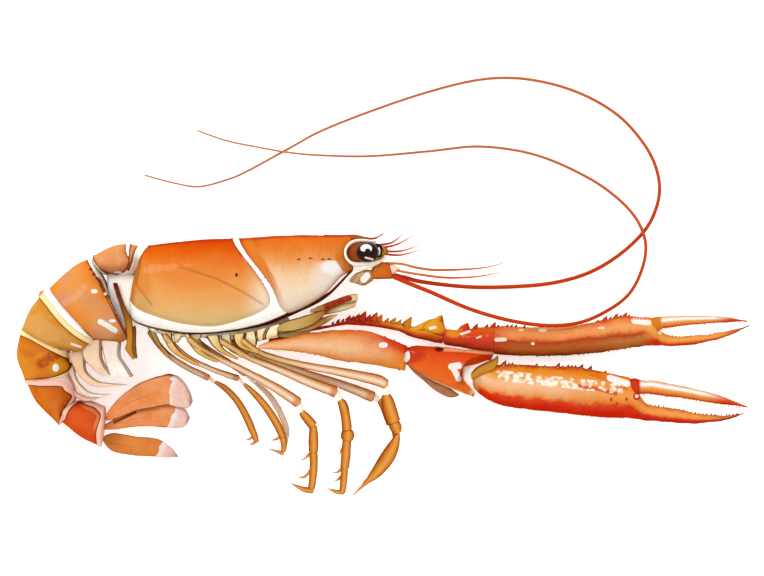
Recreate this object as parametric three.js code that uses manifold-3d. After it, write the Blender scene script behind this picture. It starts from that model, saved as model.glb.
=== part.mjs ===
// A cooked langoustine lying on its left side, with its claws stretched out in front and its tail curled.
// The head points along +X, the back along +Y, and the right side is up, along +Z. Lengths are millimetres.
// X and Y are counted from the middle of the shield that covers the head and chest, and Z from the floor.
import * as THREE from "three";
import { mergeVertices } from "three/addons/utils/BufferGeometryUtils.js";
import Module from "manifold-3d";

const wasm = await Module();
wasm.setup();

// Driving dimensions
const MID_Z = 13; // the plane that halves the head and chest, above the floor
const GROOVE_RADIUS = 0.62; // round groove across the shield
const GROOVE_TOP_X = 8.7; // where the groove crosses the back
const GROOVE_RUN = 11.2; // how far it swings forward on its way down each flank
const GROOVE_REACH = 0.86; // share of the flank's height that it runs down
const ANTENNA_RADIUS = 0.62; // at its root
const ANTENNA_TIP_RADIUS = 0.16;
const FAN_THICKNESS = 0.65; // half thickness of a tail blade
const MEMBRANE_SHRINK = 0.88; // the soft neck of a tail ring against the ring
const NECK_LENGTH = 1; // how far that neck stands out in front

const COLOURS = {
  shield: "#ee8f4a",
  rings: "#e8954a",
  lastRing: "#e0561c",
  fan: "#ee9a60",
  claw: "#ea7030",
  clawPale: "#f2a463",
  finger: "#f09a4c",
  leg: "#df8a3c",
  legPale: "#efb27e",
  antenna: "#dd7f5c",
  eye: "#2a1512",
  stalk: "#9e4a18",
  mouth: "#a0702e",
  swimmeret: "#ecd3bb",
  strip: "#b8701f",
  belly: "#e3b98a",
};

const group = new THREE.Group();

// One named piece in its own material.
function addPiece(name, geometry, colour, roughness = 0.45) {
  geometry.computeVertexNormals();
  const material = new THREE.MeshStandardMaterial({ color: colour, roughness, metalness: 0 });
  const mesh = new THREE.Mesh(geometry, material);
  mesh.name = name;
  group.add(mesh);
}

// A shape's rounding towards an end: 1 away from it, and a small blunt face at it.
function rounding(distance, reach) {
  const BLUNT = 0.3;
  const share = Math.min(distance / reach, 1);
  return BLUNT + (1 - BLUNT) * Math.sqrt(1 - (1 - share) ** 2);
}

// A point on the skin of a body drawn through sections, by the share of its length and an angle round it.
// A section has its middle, the vector from there to its upper edge, and its half depth across that.
function skinOf(sections, { corner = 1, ends = [1, 1] } = {}) {
  const middles = new THREE.CatmullRomCurve3(sections.map((s) => s.at));
  const ups = new THREE.CatmullRomCurve3(sections.map((s) => s.up), false, "catmullrom");
  const depths = sections.map((s) => new THREE.Vector3(s.depth, 0, 0));
  const depthCurve = new THREE.CatmullRomCurve3(depths, false, "catmullrom");
  const first = sections[0].at;
  const last = sections[sections.length - 1].at;
  const bulge = (v) => Math.sign(v) * Math.abs(v) ** corner;
  return (share, angle) => {
    const middle = middles.getPoint(share);
    const up = ups.getPoint(share);
    const out = middles.getTangent(share).cross(up).normalize();
    const start = rounding(middle.distanceTo(first), ends[0]);
    const end = rounding(middle.distanceTo(last), ends[1]);
    const fit = start * end;
    const point = middle.clone();
    point.addScaledVector(up, fit * bulge(Math.sin(angle)));
    point.addScaledVector(out, fit * depthCurve.getPoint(share).x * bulge(Math.cos(angle)));
    point.z = Math.max(point.z, 0); // what would reach below the floor is a flat spot on it
    return point;
  };
}

// The closed body itself: a cylinder's wall and caps laid on the skin, with finer steps near both ends
// unless they are even.
function loft(sections, { sides = 10, steps = 8, corner, ends, even = false } = {}) {
  const skin = skinOf(sections, { corner, ends });
  const crowding = even ? 0 : 0.1;
  const geometry = new THREE.CylinderGeometry(1, 1, 1, sides, steps);
  const position = geometry.attributes.position;
  for (let i = 0; i < position.count; i += 1) {
    const along = 0.5 - position.getY(i);
    const share = along - crowding * Math.sin(2 * Math.PI * along);
    const across = Math.hypot(position.getX(i), position.getZ(i));
    const angle = Math.atan2(position.getX(i), position.getZ(i));
    const edge = skin(share, angle);
    const opposite = skin(share, angle + Math.PI);
    const middle = edge.clone().add(opposite).multiplyScalar(0.5);
    const point = middle.lerp(edge, across);
    position.setXYZ(i, point.x, point.y, point.z);
  }
  return closed(geometry);
}

// The same shape with its shared corners merged, so that it has no seams.
function closed(geometry) {
  geometry.deleteAttribute("normal");
  geometry.deleteAttribute("uv");
  return mergeVertices(geometry, 1e-3);
}

// A limb's sections from rows of [x, y, half height], with its height above the floor along its length.
function limb(rows, fromZ, toZ, flatness = 0.85) {
  const points = rows.map(([x, y]) => new THREE.Vector2(x, y));
  const lengths = [0];
  for (let i = 1; i < points.length; i += 1) {
    lengths.push(lengths[i - 1] + points[i].distanceTo(points[i - 1]));
  }
  const whole = lengths[lengths.length - 1];
  return rows.map(([x, y, half], i) => {
    const before = points[Math.max(i - 1, 0)];
    const after = points[Math.min(i + 1, points.length - 1)];
    const along = after.clone().sub(before).normalize();
    const z = THREE.MathUtils.lerp(fromZ, toZ, lengths[i] / whole);
    const up = new THREE.Vector3(-along.y * half, along.x * half, 0);
    return { at: new THREE.Vector3(x, y, z), up, depth: half * flatness };
  });
}

// A body's sections from rows of [upper x, upper y, lower x, lower y, half width].
function slices(rows, z) {
  return rows.map(([upperX, upperY, lowerX, lowerY, depth]) => {
    const upper = new THREE.Vector3(upperX, upperY, z);
    const lower = new THREE.Vector3(lowerX, lowerY, z);
    const at = upper.clone().add(lower).multiplyScalar(0.5);
    return { at, up: upper.sub(at), depth };
  });
}

function toSolid(geometry) {
  const vertProperties = new Float32Array(geometry.attributes.position.array);
  const triVerts = new Uint32Array(geometry.index.array);
  return new wasm.Manifold(new wasm.Mesh({ numProp: 3, vertProperties, triVerts }));
}

function toGeometry(solid) {
  const { vertProperties, triVerts } = solid.getMesh();
  const geometry = new THREE.BufferGeometry();
  geometry.setAttribute("position", new THREE.BufferAttribute(vertProperties, 3));
  geometry.setIndex(new THREE.BufferAttribute(triVerts, 1));
  return geometry;
}

function joined(geometries) {
  const solids = geometries.map(toSolid);
  return toGeometry(solids.reduce((whole, piece) => whole.add(piece)));
}

// A thorn whose foot is sunk in what carries it.
function thorn(at, direction, length, radius) {
  const geometry = closed(new THREE.ConeGeometry(radius, length, 5));
  geometry.translate(0, length / 2 - radius, 0);
  const turn = new THREE.Quaternion();
  turn.setFromUnitVectors(new THREE.Vector3(0, 1, 0), direction.clone().normalize());
  geometry.applyQuaternion(turn);
  geometry.translate(at.x, at.y, at.z);
  return geometry;
}

// Thorns along a limb's upper edge, from rows of [share of its length, thorn length].
function thornsOn(sections, rows) {
  const skin = skinOf(sections);
  const LEAN = new THREE.Vector3(0.35, 0, 0.1);
  const SUNK = 0.12; // share of the half height by which a foot lies inside
  return rows.map(([share, length]) => {
    const edge = skin(share, Math.PI / 2);
    const middle = skin(share, -Math.PI / 2).add(edge).multiplyScalar(0.5);
    const direction = edge.clone().sub(middle).normalize().add(LEAN);
    const foot = edge.clone().lerp(middle, SUNK);
    return thorn(foot, direction, length + foot.distanceTo(edge), length * 0.45);
  });
}

// The two sides of the animal: where a right piece at height z has its left partner.
const SIDES = [
  { name: "right", mirror: 1 },
  { name: "left", mirror: -1 },
];
const sideZ = (side, away) => MID_Z + side.mirror * away;

// ---- Shield: one stiff shell over head and chest, with its beak, fine spines and groove
const SHIELD = slices(
  [
    [-17.6, 11.7, -22.1, -6, 9.4],
    [-15.4, 12.1, -18.4, -10, 11.2],
    [-9.8, 12.9, -9.8, -12.3, 12.5],
    [-1.4, 13.7, -1.4, -13.2, 13.2],
    [8.4, 14.1, 8.4, -12.3, 13.2],
    [16.8, 14.6, 16.8, -10.6, 12.5],
    [25.2, 15, 26.6, -6.7, 10.9],
    [32.2, 15, 33.6, -3.1, 8.8],
    [37.4, 14.8, 37.8, 0.7, 6.4],
    [39.6, 14.7, 40, 3.6, 2.6],
    [41.6, 14.4, 41.8, 5.6, 1.8],
  ],
  MID_Z,
);
const SHIELD_SKIN = { corner: 0.88, ends: [2.2, 2.5] };

function grooveTool() {
  const skin = skinOf(SHIELD, SHIELD_SKIN);
  const xAt = (share) => (skin(share, 0).x + skin(share, Math.PI).x) / 2;
  const shareAt = (x) => {
    let low = 0;
    let high = 1;
    for (let i = 0; i < 24; i += 1) {
      const middle = (low + high) / 2;
      if (xAt(middle) < x) low = middle;
      else high = middle;
    }
    return low;
  };
  const STEPS = 16;
  const LOWEST = Math.PI / 2 - Math.asin(1 - 2 * GROOVE_REACH); // turn from the back to its lower ends
  const sections = [];
  for (let i = 0; i <= STEPS; i += 1) {
    const turn = (2 * i) / STEPS - 1; // -1 and 1 at the lower ends, 0 on the back
    const angle = Math.PI / 2 - turn * LOWEST;
    const down = (1 - Math.sin(angle)) / 2 / GROOVE_REACH;
    const swing = down + 0.09 * Math.sin(Math.PI * down);
    const share = shareAt(GROOVE_TOP_X + GROOVE_RUN * swing);
    const at = skin(share, angle);
    const centre = skin(share, 0).add(skin(share, Math.PI)).multiplyScalar(0.5);
    const up = at.clone().sub(centre).normalize().multiplyScalar(GROOVE_RADIUS);
    sections.push({ at, up, depth: GROOVE_RADIUS });
  }
  return loft(sections, { sides: 5, steps: STEPS, ends: [1, 1], even: true });
}

const BEAK = limb([
  [34, 13.4, 1.4], [41, 14.1, 0.9], [46, 14.3, 0.7], [49, 14.6, 0.4], [51, 15.8, 0.15],
], MID_Z, MID_Z, 1);
const BROW = limb([
  [36, 10.4, 3.4], [44, 10.5, 3], [48, 10.3, 2.2], [51.5, 10.2, 1.3],
], MID_Z, MID_Z, 0.5);
const FINE_SPINES = [
  [[48.6, 12, 0.42], [52.4, 12.7, 0.3], [55.6, 15.4, 0.12]],
  [[49, 11.2, 0.42], [53.6, 12.1, 0.3], [58.6, 14.9, 0.12]],
  [[49.4, 10.3, 0.42], [54.8, 10.3, 0.3], [60.2, 12, 0.12]],
  [[49.4, 9.6, 0.42], [54.8, 9.2, 0.3], [60.4, 10.7, 0.12]],
];

function shield() {
  const shell = loft(SHIELD, { sides: 22, steps: 15, ...SHIELD_SKIN });
  const beak = loft(BEAK, { sides: 6, steps: 5, ends: [0.2, 0.2] });
  const brow = loft(BROW, { sides: 8, steps: 4, ends: [0.5, 1] });
  const spines = FINE_SPINES.map((rows) => {
    return loft(limb(rows, MID_Z, MID_Z, 1), { sides: 5, steps: 4, ends: [0.2, 0.2] });
  });
  const whole = toSolid(joined([shell, beak, brow, ...spines]));
  return toGeometry(whole.subtract(toSolid(grooveTool())));
}
addPiece("shield", shield(), COLOURS.shield);

// ---- Belly: the keel under the shield that carries the legs
const BELLY = slices(
  [
    [-15.2, -12, -14.6, -13.6, 3.2],
    [-9.8, -13.1, -9.4, -15, 4.2],
    [-1.4, -13.9, -1.4, -16.6, 4.5],
    [8.4, -13.2, 8.6, -17.1, 4.5],
    [15, -11.9, 15.6, -16.4, 4.2],
    [20, -10.3, 20.6, -14.4, 3],
  ],
  MID_Z,
);
addPiece("belly", loft(BELLY, { sides: 8, steps: 6, ends: [1, 1.4] }), COLOURS.belly, 0.55);

// ---- Eyes on short stalks, and under them the feelers' roots with their scales
const STALK = [[39.3, 9.6, 1.8], [42.5, 9.8, 2.9], [46, 9.9, 2.6], [49, 10, 1.2], [51.3, 10.3, 0.3]];
const ROOT = [[41.4, 3.2, 1.1], [44.5, 3.6, 2], [48, 4.5, 2.2], [51.2, 4.4, 1.5]];
const SCALE = [[40.6, 2, 0.8], [43.2, 2.6, 1.9], [46, 3.4, 1.2], [47.6, 4.2, 0.5]];
const EYE_RADII = [3, 2.7, 1.7];
const EYE_AT = [45.6, 9.9];

for (const side of SIDES) {
  const stalk = limb(STALK, sideZ(side, 4.4), sideZ(side, 4.4), 0.62);
  addPiece("stalk_" + side.name, loft(stalk, { sides: 6, steps: 6, ends: [1, 0.3] }), COLOURS.stalk);

  const eye = closed(new THREE.SphereGeometry(1, 12, 7));
  eye.scale(...EYE_RADII);
  eye.translate(EYE_AT[0], EYE_AT[1], sideZ(side, 8));
  addPiece("eye_" + side.name, eye, COLOURS.eye, 0.15);

  const root = limb(ROOT, sideZ(side, 3), sideZ(side, 3.6), 0.8);
  const scale = limb(SCALE, sideZ(side, 5), sideZ(side, 5.2), 0.45);
  const pieces = [loft(root, { sides: 6, steps: 5 }), loft(scale, { sides: 6, steps: 4 })];
  addPiece("antenna_root_" + side.name, joined(pieces), COLOURS.stalk);
}

// ---- Two long antennae, which sweep forward, round and back over the animal, and lie on the floor
const ANTENNA_ROUTES = {
  right: [
    [52.6, 3.4, 16.4], [63, -1.3, 14.2], [74.2, -5.9, 11.8], [85.4, -9.1, 9.6], [96, -10.5, 7.8],
    [105, -9.7, 6], [112.8, -6.4, 4.4], [119, -1.7, 3.3], [122.6, 5, 2.8], [123.8, 11.8, 2.4],
    [122.1, 17.9, 1.5], [118.2, 23.2, 0.6], [112, 28.4, 0.6], [105, 32.5, 0.6], [96, 36.5, 0.6],
    [86.8, 38.9, 0.6], [75.6, 39.9, 0.5], [63, 38.6, 0.5], [46.2, 37.2, 0.5], [32.2, 37.4, 1.2],
    [23, 38.2, 1.9], [14, 39.8, 1.2], [5.6, 41.6, 0.4], [-2.8, 44.5, 0.2],
  ],
  left: [
    [52.6, 3.6, 9.6], [61.6, 1.5, 5.8], [74.2, 0.3, 2.2], [86.8, 0.4, 0.6], [98, 1.5, 0.6],
    [107.8, 4.3, 0.6], [116.2, 9.2, 0.6], [123.2, 15.7, 0.6], [126.6, 21.8, 0.6], [127.8, 28.3, 0.6],
    [126.3, 35.3, 0.6], [122.4, 42, 0.6], [116.2, 48.6, 0.6], [107.8, 53.8, 0.6], [98, 57.4, 0.6],
    [86.8, 59.2, 0.6], [75.6, 58.5, 0.5], [61.6, 55, 0.5], [46.2, 49.8, 0.5], [32.2, 44.2, 0.5],
    [23, 39.2, 0.4], [11.2, 32.8, 0.4], [5.6, 30.5, 0.3], [-2.2, 28.6, 0.3], [-9.8, 29.8, 0.2],
    [-17.6, 31.9, 0.2],
  ],
};

function antenna(route) {
  const sections = route.map(([x, y, z], i) => {
    const before = route[Math.max(i - 1, 0)];
    const after = route[Math.min(i + 1, route.length - 1)];
    const along = new THREE.Vector2(after[0] - before[0], after[1] - before[1]).normalize();
    const radius = THREE.MathUtils.lerp(ANTENNA_RADIUS, ANTENNA_TIP_RADIUS, i / (route.length - 1));
    const up = new THREE.Vector3(-along.y * radius, along.x * radius, 0);
    return { at: new THREE.Vector3(x, y, z), up, depth: radius };
  });
  const steps = 2 * (route.length - 1);
  return loft(sections, { sides: 6, steps, ends: [0.2, 0.2], even: true });
}

// Each small antenna is a short root with two whips.
const WHIPS = [
  [[50.6, 7.8, 0.5], [60.2, 5.9, 0.42], [68.6, 5, 0.34], [77, 5.4, 0.26], [84.8, 7.3, 0.14]],
  [[50.6, 7.4, 0.5], [58, 4.6, 0.42], [66, 3.2, 0.34], [74.5, 3, 0.26], [82.6, 4.2, 0.14]],
];
const WHIP_ROOT = [[46, 7.6, 0.9], [48.6, 7.9, 1.1], [51.4, 7.8, 0.7]];

for (const side of SIDES) {
  addPiece("antenna_" + side.name, antenna(ANTENNA_ROUTES[side.name]), COLOURS.antenna);

  const root = loft(limb(WHIP_ROOT, sideZ(side, 1.7), sideZ(side, 1.9), 0.8), { sides: 6, steps: 3 });
  const whips = WHIPS.map((rows, i) => {
    const sections = limb(rows, sideZ(side, 1.9), sideZ(side, 2.6 + 1.2 * i), 1);
    return loft(sections, { sides: 4, steps: 7, ends: [0.1, 0.1] });
  });
  addPiece("whips_" + side.name, joined([root, ...whips]), COLOURS.antenna);
}

// ---- Mouth feelers under the edge of the shield
const MOUTH = [
  [21.6, -11.6, 0.9], [26.6, -9.9, 1.6], [33, -7, 1.6], [38, -4.2, 1.9], [41, -3.2, 1.5],
  [42.8, -2.6, 0.5],
];
for (const side of SIDES) {
  const sections = limb(MOUTH, sideZ(side, 4.4), sideZ(side, 4.4), 0.8);
  addPiece("mouth_feeler_" + side.name, loft(sections, { sides: 6, steps: 7 }), COLOURS.mouth);
}

// ---- Tail: six rings, each a stiff hoop with a narrower soft neck that runs under the ring before it.
// Edges and the middle are [outer x, outer y, inner x, inner y], with the half widths there.
const RINGS = [
  {
    front: [-19.4, 11.9, -21.6, 3.4],
    middle: [-24.6, 12, -24, 3],
    rear: [-30.8, 9, -27, 3.4],
    widths: [10.6, 11.4, 11.6],
  },
  {
    front: [-32.2, 8.4, -21, -15.2],
    middle: [-37, 5.6, -23.6, -16.2],
    rear: [-42.6, 0, -28.4, -15.2],
    widths: [11.9, 12.4, 12.3],
  },
  {
    front: [-44.4, -1, -31, -17.2],
    middle: [-48.4, -5.6, -33.4, -18.4],
    rear: [-51.4, -11, -37.2, -18.2],
    widths: [11.8, 12, 11.8],
  },
  {
    front: [-51.9, -12.6, -37.6, -20.2],
    middle: [-52.8, -19.2, -36.6, -21.8],
    rear: [-50.8, -25.4, -37.6, -23.8],
    widths: [11.2, 11.3, 11],
  },
  {
    front: [-50, -26.7, -35.8, -28.8],
    middle: [-47, -32.2, -36.8, -31.6],
    rear: [-40.8, -38, -37.8, -33.4],
    widths: [10.4, 10.4, 10],
  },
  {
    front: [-38.6, -38.4, -35.6, -31.6],
    middle: [-34.6, -42.2, -32, -31.8],
    rear: [-29.8, -44, -28.8, -33.6],
    widths: [9.2, 9, 7.6],
  },
];

function ring({ front, middle, rear, widths }) {
  const z = Math.min(MID_Z, Math.max(...widths) - 0.2); // every ring lies on the floor
  const hoop = slices([front, middle, rear].map((edge, i) => [...edge, widths[i]]), z);
  const { at, up, depth } = hoop[0];
  const forward = new THREE.Vector3(up.y, -up.x, 0).normalize().multiplyScalar(NECK_LENGTH);
  const neck = {
    at: at.clone().add(forward),
    up: up.clone().multiplyScalar(MEMBRANE_SHRINK),
    depth: depth * MEMBRANE_SHRINK,
  };
  return loft([neck, ...hoop], { sides: 14, steps: 6, corner: 0.9, ends: [0.5, 0.6] });
}

RINGS.forEach((shape, index) => {
  const colour = index === RINGS.length - 1 ? COLOURS.lastRing : COLOURS.rings;
  addPiece("tail_ring_" + (index + 1), ring(shape), colour);
});

// The soft skin that closes the wedge between the shield, the short first ring and the second one.
const TAIL_NECK = slices([
  [-26.4, 1.6, -24.7, -3.4, 4.6], [-24.6, 2.2, -24.1, -5.6, 5.2], [-22.6, 2.6, -23.4, -5, 4.6],
], MID_Z);
addPiece("tail_neck", loft(TAIL_NECK, { sides: 10, steps: 4 }), COLOURS.belly, 0.55);

// ---- Tail fan: the middle blade, and an inner and an outer blade on each side
const BLADES = {
  middle: [
    [-28.2, -43, 1.4], [-24, -43.3, 2.7], [-18, -44.2, 3.1], [-12, -45, 2.6], [-7.4, -46.6, 0.8],
  ],
  inner: [[-27.8, -38.4, 1], [-22, -36.2, 2.4], [-15, -35.2, 3], [-9, -35.5, 3.3], [-4.8, -36.2, 2.1]],
  outer: [
    [-26.4, -33.2, 0.7], [-20.6, -31, 2.2], [-14.6, -29.6, 3.2], [-9.2, -29.1, 3.7],
    [-4.4, -30.4, 2.4],
  ],
};
const FAN_Z = 8.4;

function blade(rows, fromZ, toZ) {
  const sections = limb(rows, fromZ, toZ).map((section) => ({ ...section, depth: FAN_THICKNESS }));
  return loft(sections, { sides: 8, steps: 6, corner: 0.8, ends: [1, 1.4] });
}

addPiece("fan_middle", blade(BLADES.middle, FAN_Z, FAN_Z), COLOURS.fan);
for (const side of SIDES) {
  for (const [place, away] of [["inner", 1.8], ["outer", 3.6]]) {
    const fromZ = FAN_Z + side.mirror * away;
    const toZ = FAN_Z + side.mirror * (away + 1.4);
    addPiece("fan_" + place + "_" + side.name, blade(BLADES[place], fromZ, toZ), COLOURS.fan);
  }
}

// ---- Swimmerets: under the rings, a stiff dark pair in front and four pale soft pairs behind it
const SWIMMERETS = [
  [[-23.6, 1.4, 0.8], [-22.4, -4, 0.9], [-20.8, -8.6, 1.2], [-20, -13.6, 1.9], [-19.3, -19, 0.6]],
  [[-26, -16.8, 1.6], [-24.4, -19.4, 2.1], [-22.6, -22.6, 1.8], [-20.6, -24.6, 0.5]],
  [[-31, -19, 1.4], [-29.4, -22, 1.9], [-26, -25.2, 1.7], [-21.6, -26.8, 0.5]],
  [[-34.6, -21, 1.2], [-32.6, -25, 1.7], [-29.6, -28.4, 1.6], [-26.4, -29.6, 0.5]],
  [[-35, -25.6, 1], [-33, -28.4, 1.4], [-30.4, -30.6, 1.2], [-28.6, -31.4, 0.5]],
];
SWIMMERETS.forEach((rows, index) => {
  for (const side of SIDES) {
    const z = sideZ(side, index === 0 ? 6.6 : 6.4 - 1.3 * index);
    const sections = limb(rows, z, z, index === 0 ? 0.5 : 0.22);
    const colour = index === 0 ? COLOURS.strip : COLOURS.swimmeret;
    const name = "swimmeret_" + (index + 1) + "_" + side.name;
    addPiece(name, loft(sections, { sides: 6, steps: 4 }), colour, 0.5);
  }
});

// ---- Claws: each an arm, a wrist, a hand with its fixed finger, and a moving finger
const CLAWS = {
  right: {
    arm: {
      rows: [
        [15.6, -15.9, 0.9], [19.3, -15.4, 1.6], [26.6, -15.4, 2.6], [33.6, -15.8, 3.8],
        [42, -16.6, 4.4], [50, -18.2, 4.3], [55, -19.3, 3],
      ],
      z: [20.2, 8.6],
      flatness: 0.72,
      thorns: [[0.72, 0.9], [0.9, 1.2]],
    },
    wrist: {
      rows: [
        [55.8, -19, 0.9], [58.4, -20.1, 2.9], [62.4, -21.7, 4.6], [67, -23.4, 5.7],
        [71.4, -24.7, 5.6], [73.6, -25.2, 4.6],
      ],
      z: [8, 5.8],
      flatness: 0.8,
      thorns: [[0.6, 1], [0.85, 1.1]],
    },
    hand: {
      rows: [
        [75.2, -26, 3.2], [78, -26.6, 4.9], [84, -27.4, 5.7], [94, -28.4, 6.1],
        [104, -29.2, 6.2], [112.6, -30.3, 6],
        [117, -31.6, 4.9], [120.4, -33.8, 3], [124, -35, 2.2], [129, -35.7, 1.9],
        [137, -36.3, 1.7], [145, -36.6, 1], [152, -35, 0.25],
      ],
      z: [5.2, 3],
      flatness: 0.74,
      thorns: [
        [0.1, 1.2], [0.18, 0.9], [0.26, 0.9], [0.34, 0.9], [0.42, 0.8],
      ],
    },
    finger: {
      rows: [
        [120.4, -27.5, 1.8], [124, -27.6, 2.1], [131, -28.7, 2.1], [138.6, -30.3, 1.7],
        [146, -32.2, 1], [152.4, -33.7, 0.25],
      ],
      z: [3.9, 2.7],
      flatness: 0.85,
      thorns: [],
    },
  },
  left: {
    arm: {
      rows: [
        [17.8, -15.2, 0.9], [22, -14.5, 1.4], [28, -13.4, 1.9], [34, -12.6, 2.3], [46, -12, 2.6],
        [58, -12.5, 2.7], [66.6, -13.4, 3],
      ],
      z: [5.6, 3.4],
      flatness: 0.85,
      thorns: [[0.36, 0.8], [0.42, 1], [0.48, 1], [0.58, 1.1], [0.68, 1.2], [0.78, 1.3], [0.93, 2.6]],
    },
    wrist: {
      rows: [
        [67.6, -13.7, 2], [70.4, -14.1, 3.1], [74.4, -14.7, 3.8], [78.4, -15.1, 3.9],
        [80.8, -15.3, 3.1],
      ],
      z: [3.5, 3.6],
      flatness: 0.9,
      thorns: [[0.3, 1.2], [0.55, 1], [0.85, 1.2]],
    },
    hand: {
      rows: [
        [82, -15.1, 2.8], [85, -15, 3.6], [94, -15, 3.9], [104, -14.7, 4], [112.6, -13.6, 4.3],
        [118, -12.9, 4.2],
        [122, -13.4, 3.1], [126, -14.6, 1.8], [131, -14.8, 1.4], [139, -14.1, 1.2],
        [146.6, -12.6, 0.8], [153, -10.5, 0.2],
      ],
      z: [3.6, 2.2],
      flatness: 0.95,
      thorns: [[0.12, 0.7], [0.28, 0.6], [0.44, 0.7], [0.56, 0.9]],
    },
    finger: {
      rows: [
        [126.6, -10.3, 1.6], [130, -9.6, 1.5], [137, -9.1, 1.3], [145, -8.8, 0.9],
        [153.4, -9.3, 0.2],
      ],
      z: [3.4, 2.4],
      flatness: 0.9,
      thorns: [],
    },
  },
};
const CLAW_MESH = {
  arm: { sides: 8, steps: 8, colour: COLOURS.clawPale },
  wrist: { sides: 10, steps: 6, colour: COLOURS.claw },
  hand: { sides: 12, steps: 10, colour: COLOURS.claw },
  finger: { sides: 8, steps: 7, colour: COLOURS.finger },
};

for (const side of SIDES) {
  for (const [part, { rows, z, flatness, thorns }] of Object.entries(CLAWS[side.name])) {
    const sections = limb(rows, z[0], z[1], flatness);
    const { sides, steps, colour } = CLAW_MESH[part];
    const body = loft(sections, { sides, steps, ends: [1.4, 0.8] });
    addPiece("claw_" + part + "_" + side.name, joined([body, ...thornsOn(sections, thorns)]), colour);
  }
}

// ---- Walking legs: four a side, each a long upper part and a lower part that ends in a hook.
// Heights are those of the hip, the knee and the tip.
const LEGS = {
  right: [
    {
      upper: [
        [10.6, -14.3, 0.9], [16.5, -18.4, 0.8], [26.6, -21.3, 0.9], [37.8, -23.5, 1.2],
        [47.9, -25.8, 1.45], [50.4, -26.9, 1.1],
      ],
      lower: [
        [51, -29, 0.8], [51.4, -32, 1.7], [52.5, -36, 1.85], [53.4, -39.6, 0.8],
        [52.2, -42.8, 1.4], [49.6, -47.6, 1.9],
        [46, -52.8, 1.3], [41.4, -58.2, 0.25],
      ],
      z: [19.4, 7.4, 2.6],
    },
    {
      upper: [
        [4.8, -14.6, 0.9], [12.6, -19.3, 0.8], [19.6, -22.1, 0.9], [29, -26.2, 1.2],
        [36, -28.8, 1.2],
      ],
      lower: [
        [38.2, -31, 0.7], [38.8, -34.4, 1.35], [39.8, -40, 1.3], [39.8, -43.6, 0.9],
        [39.5, -48.2, 1.15],
        [39.1, -53, 1], [37.9, -56.6, 0.85], [34, -56.3, 0.2],
      ],
      z: [19.4, 8, 3],
    },
    {
      upper: [
        [-4.2, -13.9, 1], [-0.3, -17.1, 0.9], [4.8, -19.8, 0.85], [13, -24, 0.95],
        [21, -28.6, 1.25], [26, -31.8, 1.25],
      ],
      lower: [
        [27.8, -34.3, 0.7], [29.6, -37.4, 1.1], [30.2, -42, 1.2], [30.4, -50, 1.05],
        [29.6, -55.6, 1], [23.8, -54.9, 0.2],
      ],
      z: [19.4, 7.6, 2.4],
    },
    {
      upper: [
        [-10.9, -13, 1], [-8.1, -16.2, 0.9], [-4.2, -19.5, 0.8], [2, -22.6, 0.75], [8, -25, 0.95],
      ],
      lower: [
        [10.8, -26.8, 0.5], [13.4, -29, 0.7], [18, -35, 0.9], [20.6, -41, 0.85],
        [21.5, -45.6, 0.65], [17.9, -45.1, 0.15],
      ],
      z: [19.4, 7.6, 2.8],
    },
  ],
  left: [
    {
      upper: [
        [9.8, -16, 0.9], [16, -19.4, 0.8], [26.6, -23.3, 0.85], [37.8, -27, 1.1],
        [46.6, -30.2, 1.4],
      ],
      lower: [
        [48.2, -32.4, 0.7], [50, -36, 1.4], [50.8, -40, 0.8], [50, -43.6, 1.3], [47.8, -48.2, 1.5],
        [42.8, -56, 0.25],
      ],
      z: [7, 2.4, 0.9],
    },
    {
      upper: [
        [6, -15.6, 0.9], [12.6, -19.7, 0.8], [22, -23.8, 0.75], [30.8, -27.4, 0.85],
        [36.8, -29.9, 0.95],
      ],
      lower: [
        [39, -31.6, 0.6], [40.2, -34, 1.2], [40.8, -40, 1.1], [40.4, -46, 1], [40.2, -53, 0.9],
        [36.6, -55.2, 0.2],
      ],
      z: [7, 2.4, 0.9],
    },
    {
      upper: [[-3, -14.4, 0.9], [1.4, -17.6, 0.85], [6, -20.6, 0.85], [10.8, -24, 0.9]],
      lower: [
        [13.2, -26.6, 0.5], [17, -30, 0.8], [20.4, -34.8, 0.9], [22.4, -40, 0.8],
        [22.2, -44.4, 0.4],
      ],
      z: [7, 2.2, 0.8],
    },
    {
      upper: [
        [-15.7, -11.9, 0.9], [-13.7, -15.1, 0.85], [-10.4, -18.8, 0.8], [-5.6, -22.1, 0.85],
        [0.4, -25.1, 0.9],
      ],
      lower: [[2.6, -26.3, 0.5], [6.4, -28.8, 0.8], [9.6, -33, 1], [12, -38, 1], [14.3, -44, 0.3]],
      z: [7, 2.2, 0.9],
    },
  ],
};

for (const side of SIDES) {
  LEGS[side.name].forEach(({ upper, lower, z }, index) => {
    const [hipZ, kneeZ, tipZ] = z;
    const name = "leg_" + (index + 1) + "_";
    const thigh = loft(limb(upper, hipZ, kneeZ), { sides: 6, steps: 6, ends: [0.8, 0.8] });
    addPiece(name + "upper_" + side.name, thigh, COLOURS.legPale);
    const shank = loft(limb(lower, kneeZ, tipZ), { sides: 6, steps: 8, ends: [0.6, 0.3] });
    addPiece(name + "lower_" + side.name, shank, COLOURS.leg);
  });
}

// The frame's origin is on the floor, under the middle of the whole animal.
const box = new THREE.Box3().setFromObject(group);
group.position.set(-(box.min.x + box.max.x) / 2, -(box.min.y + box.max.y) / 2, -box.min.z);

export default group;
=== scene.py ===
import math
import random

import bmesh
import bpy
import numpy as np
from mathutils import Matrix, Vector, noise


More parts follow.
